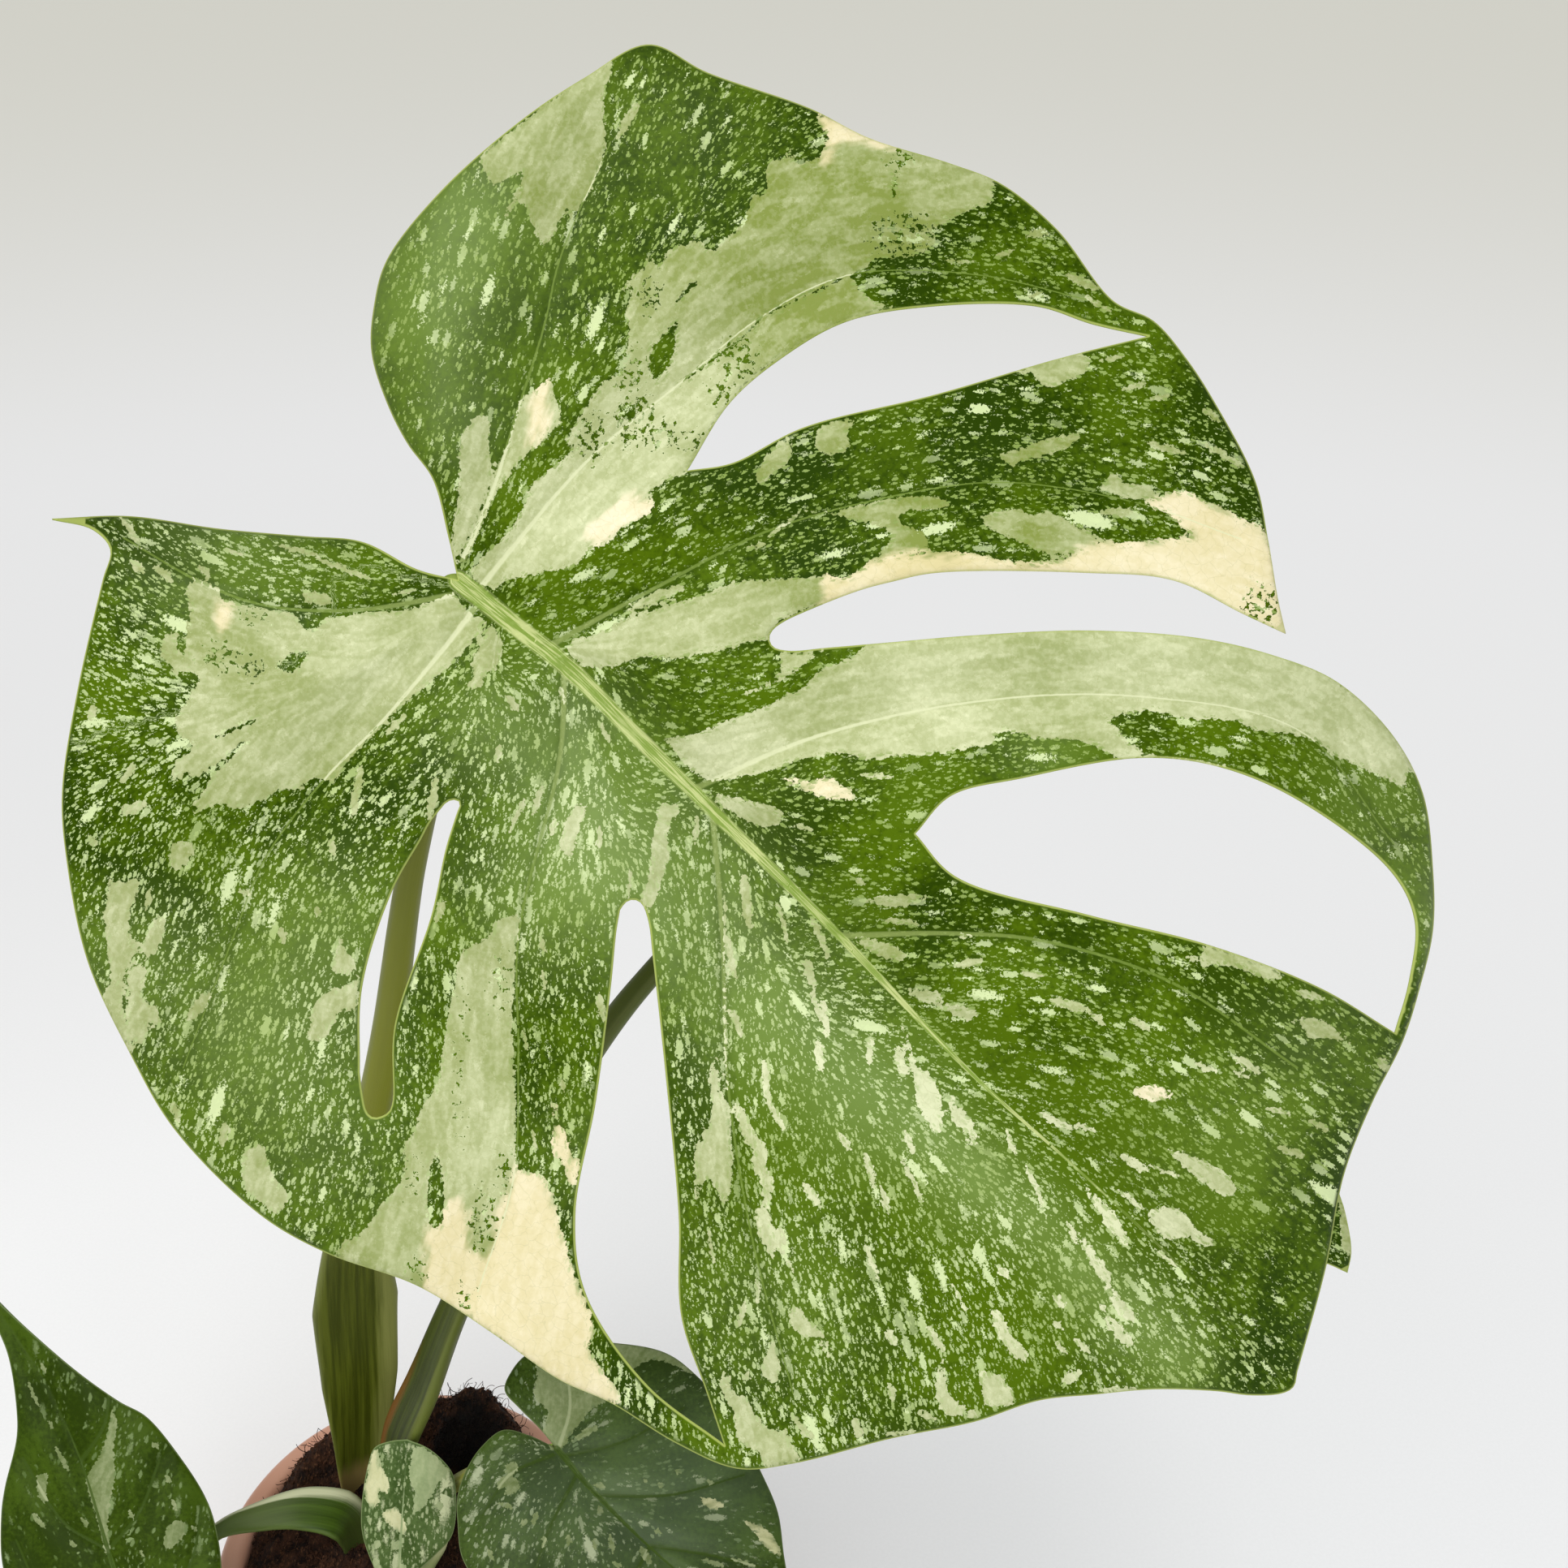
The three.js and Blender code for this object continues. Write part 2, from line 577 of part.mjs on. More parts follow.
function potGeometry() {
  const rimFoot = POT_HEIGHT - RIM_DEPTH;
  const quarter = [0, 30, 60, 90].map((degrees) => THREE.MathUtils.degToRad(degrees));
  const outerRound = quarter.map((a) => [
    POT_RIM_RADIUS - RIM_ROUND * (1 - Math.cos(a)), POT_HEIGHT - RIM_ROUND * (1 - Math.sin(a))]);
  const innerRound = quarter.map((a) => [
    POT_MOUTH_RADIUS + RIM_ROUND * (1 - Math.sin(a)), POT_HEIGHT - RIM_ROUND * (1 - Math.cos(a))]);
  const wall = round([
    [0, 0], [POT_BASE_RADIUS - 1.5, 0], [POT_BASE_RADIUS, 1.5],
    [potInnerRadius(rimFoot) + POT_WALL, rimFoot], [POT_RIM_RADIUS - 1, rimFoot + 1],
    [POT_RIM_RADIUS, rimFoot + 3], ...outerRound, ...innerRound,
    [potInnerRadius(POT_FLOOR) + 0.5, POT_FLOOR + 2], [potInnerRadius(POT_FLOOR) - 1.5, POT_FLOOR],
    [0, POT_FLOOR],
  ], 48);
  const drains = Array.from({ length: DRAIN_HOLES }, (_, i) => {
    const angle = (2 * Math.PI * (i + 0.25)) / DRAIN_HOLES;
    return new THREE.CylinderGeometry(DRAIN_RADIUS, DRAIN_RADIUS, 4 * POT_FLOOR, 16)
      .rotateX(Math.PI / 2)
      .translate(DRAIN_CIRCLE * Math.cos(angle), DRAIN_CIRCLE * Math.sin(angle), 0);
  });
  return carve(wall, ...drains);
}

function buriedStemGeometry(swell = 0) {
  const middle = (STEM_TOP + STEM_FOOT) / 2;
  const r = STEM_RADIUS + swell;
  return round([
    [0, STEM_FOOT - swell], [r - 5, STEM_FOOT - swell], [r - 2, STEM_FOOT + 5], [r - 1.5, middle - 2],
    [r - 0.3, middle], [r - 1.5, middle + 2], [r, STEM_TOP - 2], [r - 1, STEM_TOP + swell],
    [0, STEM_TOP + swell],
  ], 24).translate(...STEM_CENTRE, 0);
}

function bump(x, y, width) {
  return Math.exp(-(x * x + y * y) / (width * width));
}

// The heaped coir stands lowest at the front left and highest at the back.
function coirHeight(x, y) {
  const heap = 106 + 0.12 * y + 22 * bump(x - 22, y - 44, 17) + 9 * bump(x + 38, y - 36, 15);
  const lumps = 1.3 * Math.sin(0.31 * x + 1) * Math.cos(0.27 * y) + 0.9 * Math.sin(0.57 * x - 0.43 * y);
  return heap + lumps;
}

function coirGeometry() {
  const foot = POT_FLOOR + CLEARANCE;
  const brim = POT_HEIGHT - 3;
  const side = (z) => potInnerRadius(z) - CLEARANCE - 0.2;
  const brimRadius = side(brim);
  const top = [1, 0.985, 0.94, 0.86, 0.75, 0.62, 0.49, 0.36, 0.23, 0.11, 0].map(
    (share) => [share * brimRadius, brim]);
  const heap = round([
    [0, foot], [side(foot) - 3, foot], [side(foot + 3), foot + 3], [side(brim / 2), brim / 2], ...top,
  ], 40);
  const corner = heap.getAttribute('position');
  for (let i = 0; i < corner.count; i += 1) {
    const [x, y] = [corner.getX(i), corner.getY(i)];
    const inward = brimRadius - Math.hypot(x, y);
    if (corner.getZ(i) < brim - 0.01 || inward < 0.01) continue;
    const shoulder = Math.sqrt(1 - (1 - Math.min(1, inward / COIR_SHOULDER)) ** 2);
    corner.setZ(i, brim + shoulder * (coirHeight(x, y) - brim));
  }
  return heap;
}

// Assembly

const plant = new THREE.Group();

function add(name, geometry, material) {
  const mesh = new THREE.Mesh(weld(geometry), material);
  mesh.name = name;
  plant.add(mesh);
}

const leafStems = [
  ['main', mainStem, stemGreen, mainLeaf, leafGreen],
  ['second', secondStem, stemGreen, secondLeaf, leafGreen],
  ['left', leftStem, stripedGreen, leftLeaf, youngGreen],
  ['right', rightStem, stemGreen, rightLeaf, youngGreen],
  ['small', smallStem, stemGreen, smallLeaf, creamGreen],
];

// Each leaf stem stops against the back of its blade and on the top of the buried stem.
leafStems.forEach(([name, stem, stemFinish, blade, bladeFinish]) => {
  const stops = [bladeGeometry(blade, CLEARANCE), buriedStemGeometry(CLEARANCE)];
  add(`petiole_${name}`, carve(stemGeometry(stem), ...stops), stemFinish);
  add(`leaf_${name}`, bladeGeometry(blade), bladeFinish);
});
add('sheath_young', stemGeometry(youngSheath), creamGreen);
add('stem', buriedStemGeometry(), barkTan);

const holes = [...leafStems.map(([, stem]) => stem), youngSheath].map((s) => stemGeometry(s, CLEARANCE));
add('soil', carve(coirGeometry(), buriedStemGeometry(CLEARANCE), ...holes), coirBrown);
add('pot', potGeometry(), potPeach);

export default plant;
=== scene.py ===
"""The looks of a potted, variegated split-leaf plant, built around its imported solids.

Metres, +Z up. Leaves are drawn in millimetres on sheets square to the eye's gaze, as the solids are.
"""

import math

import bpy
import numpy as np
from mathutils import Matrix, Vector, kdtree, noise
from mathutils.geometry import delaunay_2d_cdt


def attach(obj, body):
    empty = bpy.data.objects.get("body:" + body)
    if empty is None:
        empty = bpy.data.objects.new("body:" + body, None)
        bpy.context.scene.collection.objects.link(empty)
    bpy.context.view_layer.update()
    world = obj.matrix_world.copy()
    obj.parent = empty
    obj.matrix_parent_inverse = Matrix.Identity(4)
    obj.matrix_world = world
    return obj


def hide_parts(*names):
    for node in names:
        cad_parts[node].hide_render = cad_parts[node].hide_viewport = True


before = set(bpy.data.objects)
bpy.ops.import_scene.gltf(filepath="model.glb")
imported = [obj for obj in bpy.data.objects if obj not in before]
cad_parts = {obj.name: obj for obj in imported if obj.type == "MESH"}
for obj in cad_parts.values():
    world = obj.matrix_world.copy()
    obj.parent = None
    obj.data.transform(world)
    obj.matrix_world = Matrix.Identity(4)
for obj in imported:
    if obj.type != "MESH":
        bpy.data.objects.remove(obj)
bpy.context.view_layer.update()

# The photo's camera, with its eye in millimetres
MM = 0.001
PHOTO_PIXELS = 1932
FOCAL_PIXELS = 1980
SENSOR = 36.0
EYE = np.array([122.6, -319.3, 585.1])
GAZE_DOWN = math.radians(31)
GAZE = np.array([0, math.cos(GAZE_DOWN), -math.sin(GAZE_DOWN)])
ACROSS = np.array([1.0, 0, 0])
UPWARD = np.array([0, math.sin(GAZE_DOWN), math.cos(GAZE_DOWN)])

# The pot and the coir, in millimetres. A hill has its place, its width and its height.
POT_HEIGHT = 105
POT_RIM_RADIUS = 60
POT_MOUTH_RADIUS = 51.5
POT_BASE_RADIUS = 42
POT_WALL = 3
POT_FLOOR = 4
RIM_DEPTH = 16
RIM_ROUND = 3.5
DRAIN_HOLES = 5
DRAIN_RADIUS = 4
DRAIN_CIRCLE = 24
COIR_SHOULDER = 8
COIR_GAP = 0.5
# The hollow behind the stems, as x, y and height. Around it the coir is painted near black: painted shade
# under the plant.
SHADED_HOLLOW = (17, 29, 118)
COIR_LEVEL = 106
COIR_SLOPE = 0.12
COIR_HILLS = ((22, 44, 17, 22), (-38, 36, 15, 9), (*SHADED_HOLLOW[:2], 8, -4))

# The blades' rims, veins and marks, in millimetres, and the floor
RIM_ROLL = 0.02
RIM_WIDTH = 1.2
VEIN_RIB = 0.35
VEIN_GROOVE = 0.4
VEIN_HALF = 0.9
SIDE_BLEND = 12
MARK_REACH = 12
FLOOR_RADIUS = 14000


# Leaf drawings: outlines, slits and veins in millimetres from the leaf's base

MAIN_LEAF = dict(
    base=[58.4, -27.1, 456.4], base_pixel=(565, 715), mm_per_pixel=0.16,
    thickness=0.9, rib=2.2, rib_width=3, spacing=1.05,
    edge=[
        [[0, 0], [-2, 9], [-5, 20], [-10, 27], [-14, 35], [-17, 45], [-16.5, 54], [-14, 63], [-3, 77],
         [13, 91], [25, 99], [37.5, 105.5], [49, 100], [69, 93], [81, 87], [97, 82], [107, 78], [118, 69],
         [129, 55], [137, 51], [143.5, 43.5], [149, 35], [157, 19.5], [159.5, 8], [161.5, -4]],
        [[163, -10.5], [154.5, -6.5], [141, 0], [124, 1.5], [94, 1.5], [85.6, -0.2], [79.2, -1.9],
         [69.6, -5.6], [64, -8.2], [61.9, -9.8], [61.2, -11.4], [62, -13.2], [65, -14], [72.8, -13.4],
         [85.6, -12.3], [101, -11], [124, -10], [146, -11.5], [161, -15], [173, -20], [184, -30.5],
         [190, -42], [192, -57], [192, -69], [189.5, -80], [186, -91], [180, -103], [174.5, -117],
         [171, -135], [167, -150]],
        [[165.3, -156], [164.6, -158.9], [162.4, -160.2], [156, -160.6], [149.6, -159.8], [137, -159.4],
         [125.6, -160.4], [114.4, -161.6], [101.6, -165.8], [85.6, -169], [66, -174],
         [55, -175], [43, -170], [30, -162], [20, -157.5], [7, -148.5], [-8, -139], [-26, -132.5],
         [-39, -125], [-56, -108], [-65, -92.5], [-73, -75], [-77, -56], [-78, -42], [-75, -22],
         [-70, 0], [-68.5, 6], [-72, 10]],
        [[-80, 12], [-65, 12.5], [-47, 10], [-30, 8.5], [-19, 7.5], [-8, 2]],
    ],
    slits=[
        [[[45, 21.5], [53.5, 35], [64, 44], [76.5, 51], [93.5, 54], [114, 54], [125, 50.5]],
         [[136, 48], [118, 43.5], [94, 36.5], [68, 30], [54, 23]]],
        [[[90, -50], [97, -42.5], [111, -39], [134, -35], [149, -36.5], [165, -43], [184, -57.5],
          [188.6, -67], [187.5, -79]],
         [[184.6, -89.3], [170, -80.5], [148, -72], [124, -66], [98, -58.5]]],
        [[[31.8, -65], [33, -63.4], [34.6, -62.9], [36.2, -63.7], [37.5, -67], [38.5, -75], [41, -98],
          [43.5, -125], [44, -145], [49, -160]],
         [[52.5, -170.5], [37, -158.5], [25, -140.5], [23, -125], [27, -103], [30, -80], [31.1, -69]]],
        [[[-2.7, -44], [-1.2, -43.2], [0.4, -43.8], [-0.3, -46.2], [-2.4, -53], [-5.2, -66], [-12.5, -88],
          [-12.9, -103], [-13.8, -105], [-16.6, -106], [-18, -105], [-19, -101]],
         [[-19.5, -97], [-19, -80], [-13, -61], [-7.4, -51], [-5.7, -47.8]]],
    ],
    midrib=[[0, 0], [10, -8], [22, -17.5], [34, -29.5], [47, -42.3], [69.6, -64.5], [78, -73], [102, -98],
            [122, -116], [142, -135], [162, -157]],
    veins=[
        [[1, 4], [7, 18], [12, 34], [17, 50], [20, 63], [30, 86]],
        [[4, -2], [25, 23], [44, 39], [60, 52], [77, 60], [102, 60], [124, 55]],
        [[17, -13.5], [38, -2], [62, 10], [94, 18], [110, 19], [134, 15], [154, 8]],
        [[46, -41.3], [70, -31], [102, -24], [134, -23], [166, -30], [184, -52]],
        [[75, -70], [97, -69.5], [115, -71], [140, -79], [165, -96]],
        [[-1, -3], [-20, -6], [-38, -5], [-52, 0], [-66, 8]],
        [[3, -6], [-4, -15], [-15, -28], [-26, -39], [-38, -55], [-44, -70], [-54, -96]],
        [[21, -16.7], [20, -35], [12, -70], [12, -94], [11, -118], [4, -140]],
        [[50, -45.3], [52, -70], [53, -98], [58, -130], [66, -160]],
    ],
    form=dict(lean=[0, 0], valley=0.3, reach=30, arch=0.0016, quilt=3, groove=9,
              droop=0.0022, droop_from=110, wave=1.2, waves=9),
    folds=dict(below=18, left_of=-10, run=15, steepness=1.3, foot=-3, highest=16,
               ebb=9, ebb_from=-38, ebb_run=30, rim_curl=0.03, rim_from=-2, end_curl=0.012, end_from=150),
)
SECOND_LEAF = dict(
    base=[110, 14, 345.3], base_pixel=(905, 1130), mm_per_pixel=0.2067,
    thickness=0.9, rib=1.8, rib_width=2.6, spacing=1.7,
    edge=[
        [[0, 0], [-5, 6], [-7, 14.5], [-1, 23], [12, 25], [28, 20], [46, 9], [61, 3], [82, -3], [102, -9],
         [124, -15], [140, -22], [152, -32], [157, -44], [154, -58], [153.4, -68], [155.4, -75],
         [157, -85]],
        [[156, -90.5], [150, -88], [143, -88], [122, -97], [102, -105], [80, -110], [60, -113], [40, -112],
         [20, -107], [6, -95], [-5, -76], [-9, -56], [-10, -35], [-8, -14], [-4, -4]],
    ],
    slits=[
        [[[50, -12], [66, -7], [86, -10]], [[104, -20], [84, -22], [66, -20]]],
        [[[38, -56], [46, -72]], [[50, -92], [38, -84], [33, -70]]],
        [[[70, -68], [84, -80]], [[92, -94], [76, -90], [68, -80]]],
    ],
    midrib=[[0, 0], [30, -16], [70, -42], [110, -64], [146, -80]],
    veins=[
        [[2, 0], [22, 4], [44, 0]],
        [[30, -16], [60, -14], [90, -16], [120, -22]],
        [[70, -42], [100, -42], [134, -46]],
        [[0, -4], [0, -30], [4, -60]],
        [[30, -16], [27, -50], [28, -90]],
        [[52, -31], [56, -62], [66, -100]],
        [[88, -53], [96, -72], [112, -92]],
    ],
    form=dict(lean=[-0.12, 0.2], valley=0.35, reach=24, arch=0.002, quilt=2.5, groove=8,
              droop=0.003, droop_from=80, wave=1, waves=7),
)
LEFT_LEAF = dict(
    base=[-66.6, -43.6, 128], base_pixel=(172, 2015), mm_per_pixel=0.2382,
    thickness=0.8, rib=1, rib_width=1.8, spacing=0.9,
    edge=[
        [[0, 0], [4.5, -5], [10, -6.5], [17.5, -2.5], [23, 7], [24, 20], [22, 33], [19, 41], [12, 52],
         [2, 64], [-6, 68.5], [-18, 77], [-32, 89]],
        [[-47, 103], [-43, 93], [-38.5, 82], [-36, 66], [-36, 58], [-39.5, 43], [-40.5, 35], [-40, 20],
         [-35, 7], [-24.5, -3], [-12.5, -7], [-4, -5]],
    ],
    slits=[],
    midrib=[[0, 0], [-7.5, 20], [-17, 51], [-28, 75], [-44, 99]],
    veins=[
        [[0, 1], [9, 10], [16, 24], [18, 38]],
        [[-9, 25], [0, 36], [6, 52]],
        [[-17, 51], [-10, 62], [-9, 70]],
        [[-1, 1], [-14, 3], [-28, 12], [-36, 28]],
        [[-9, 25], [-22, 33], [-34, 52]],
    ],
    form=dict(lean=[0, -0.2], valley=0.3, reach=14, arch=0.006, quilt=1.2, groove=4,
              droop=0.002, droop_from=50, wave=0.5, waves=5),
)
RIGHT_LEAF = dict(
    base=[54.7, -10.1, 167.7], base_pixel=(686, 1785), mm_per_pixel=0.2424,
    thickness=0.8, rib=1, rib_width=1.8, spacing=0.9,
    edge=[
        [[0, 0], [-5, 6], [-11, 12], [-15.5, 17.5], [-13.5, 23], [-9, 28], [1, 31.5], [17, 31.5],
         [32.5, 28.5], [42, 21.5], [53, 8.5], [61, -7], [66, -19], [68, -33], [71, -48]],
        [[77, -64], [59, -61], [37, -59.5], [13, -57], [-6, -51], [-21, -42.5], [-28, -33],
         [-29.5, -22.5], [-29.5, -14], [-26.5, -5.5], [-22, 1], [-16, 5.5], [-8.5, 4]],
    ],
    slits=[],
    midrib=[[0, 0], [12, -14], [40, -40], [73, -61]],
    veins=[
        [[1, 1], [4, 12], [3, 24]],
        [[3, -2], [20, 2], [38, 12]],
        [[12, -14], [34, -14], [56, -8]],
        [[28, -29], [46, -32], [62, -36]],
        [[-1, -2], [-14, -8], [-22, -20]],
        [[6, -8], [-2, -24], [-8, -42]],
        [[28, -29], [22, -42], [22, -53]],
    ],
    form=dict(lean=[0.06, -0.7], valley=0.35, reach=12, arch=0.004, quilt=1.6, groove=5,
              droop=0.003, droop_from=45, wave=0.8, waves=5),
)
SMALL_LEAF = dict(
    base=[2.4, -19.8, 113], base_pixel=(490, 1958), mm_per_pixel=0.2525,
    thickness=0.8, rib=0.5, rib_width=1.2, spacing=0.6,
    edge=[
        [[0, 0], [-5, 3], [-8, 8.5], [-11, 18], [-11, 27], [-9, 39], [-7, 44], [-2, 46]],
        [[3, 46.5], [9, 44], [13.5, 40.5], [17, 36], [18, 31], [18, 22], [16.5, 16], [11.5, 10.5],
         [5, 4.5]],
    ],
    slits=[],
    midrib=[[0, 0], [1, 15], [2, 30], [3, 45]],
    veins=[],
    form=dict(lean=[0, 0.12], valley=0.4, reach=6, arch=0.02, quilt=0, groove=3,
              droop=0.008, droop_from=26, wave=0.3, waves=4),
)


# Marks on the leaves, in pixels of the 1932 pixel picture, as "x,y" corners or "x,y,x,y,width" streaks

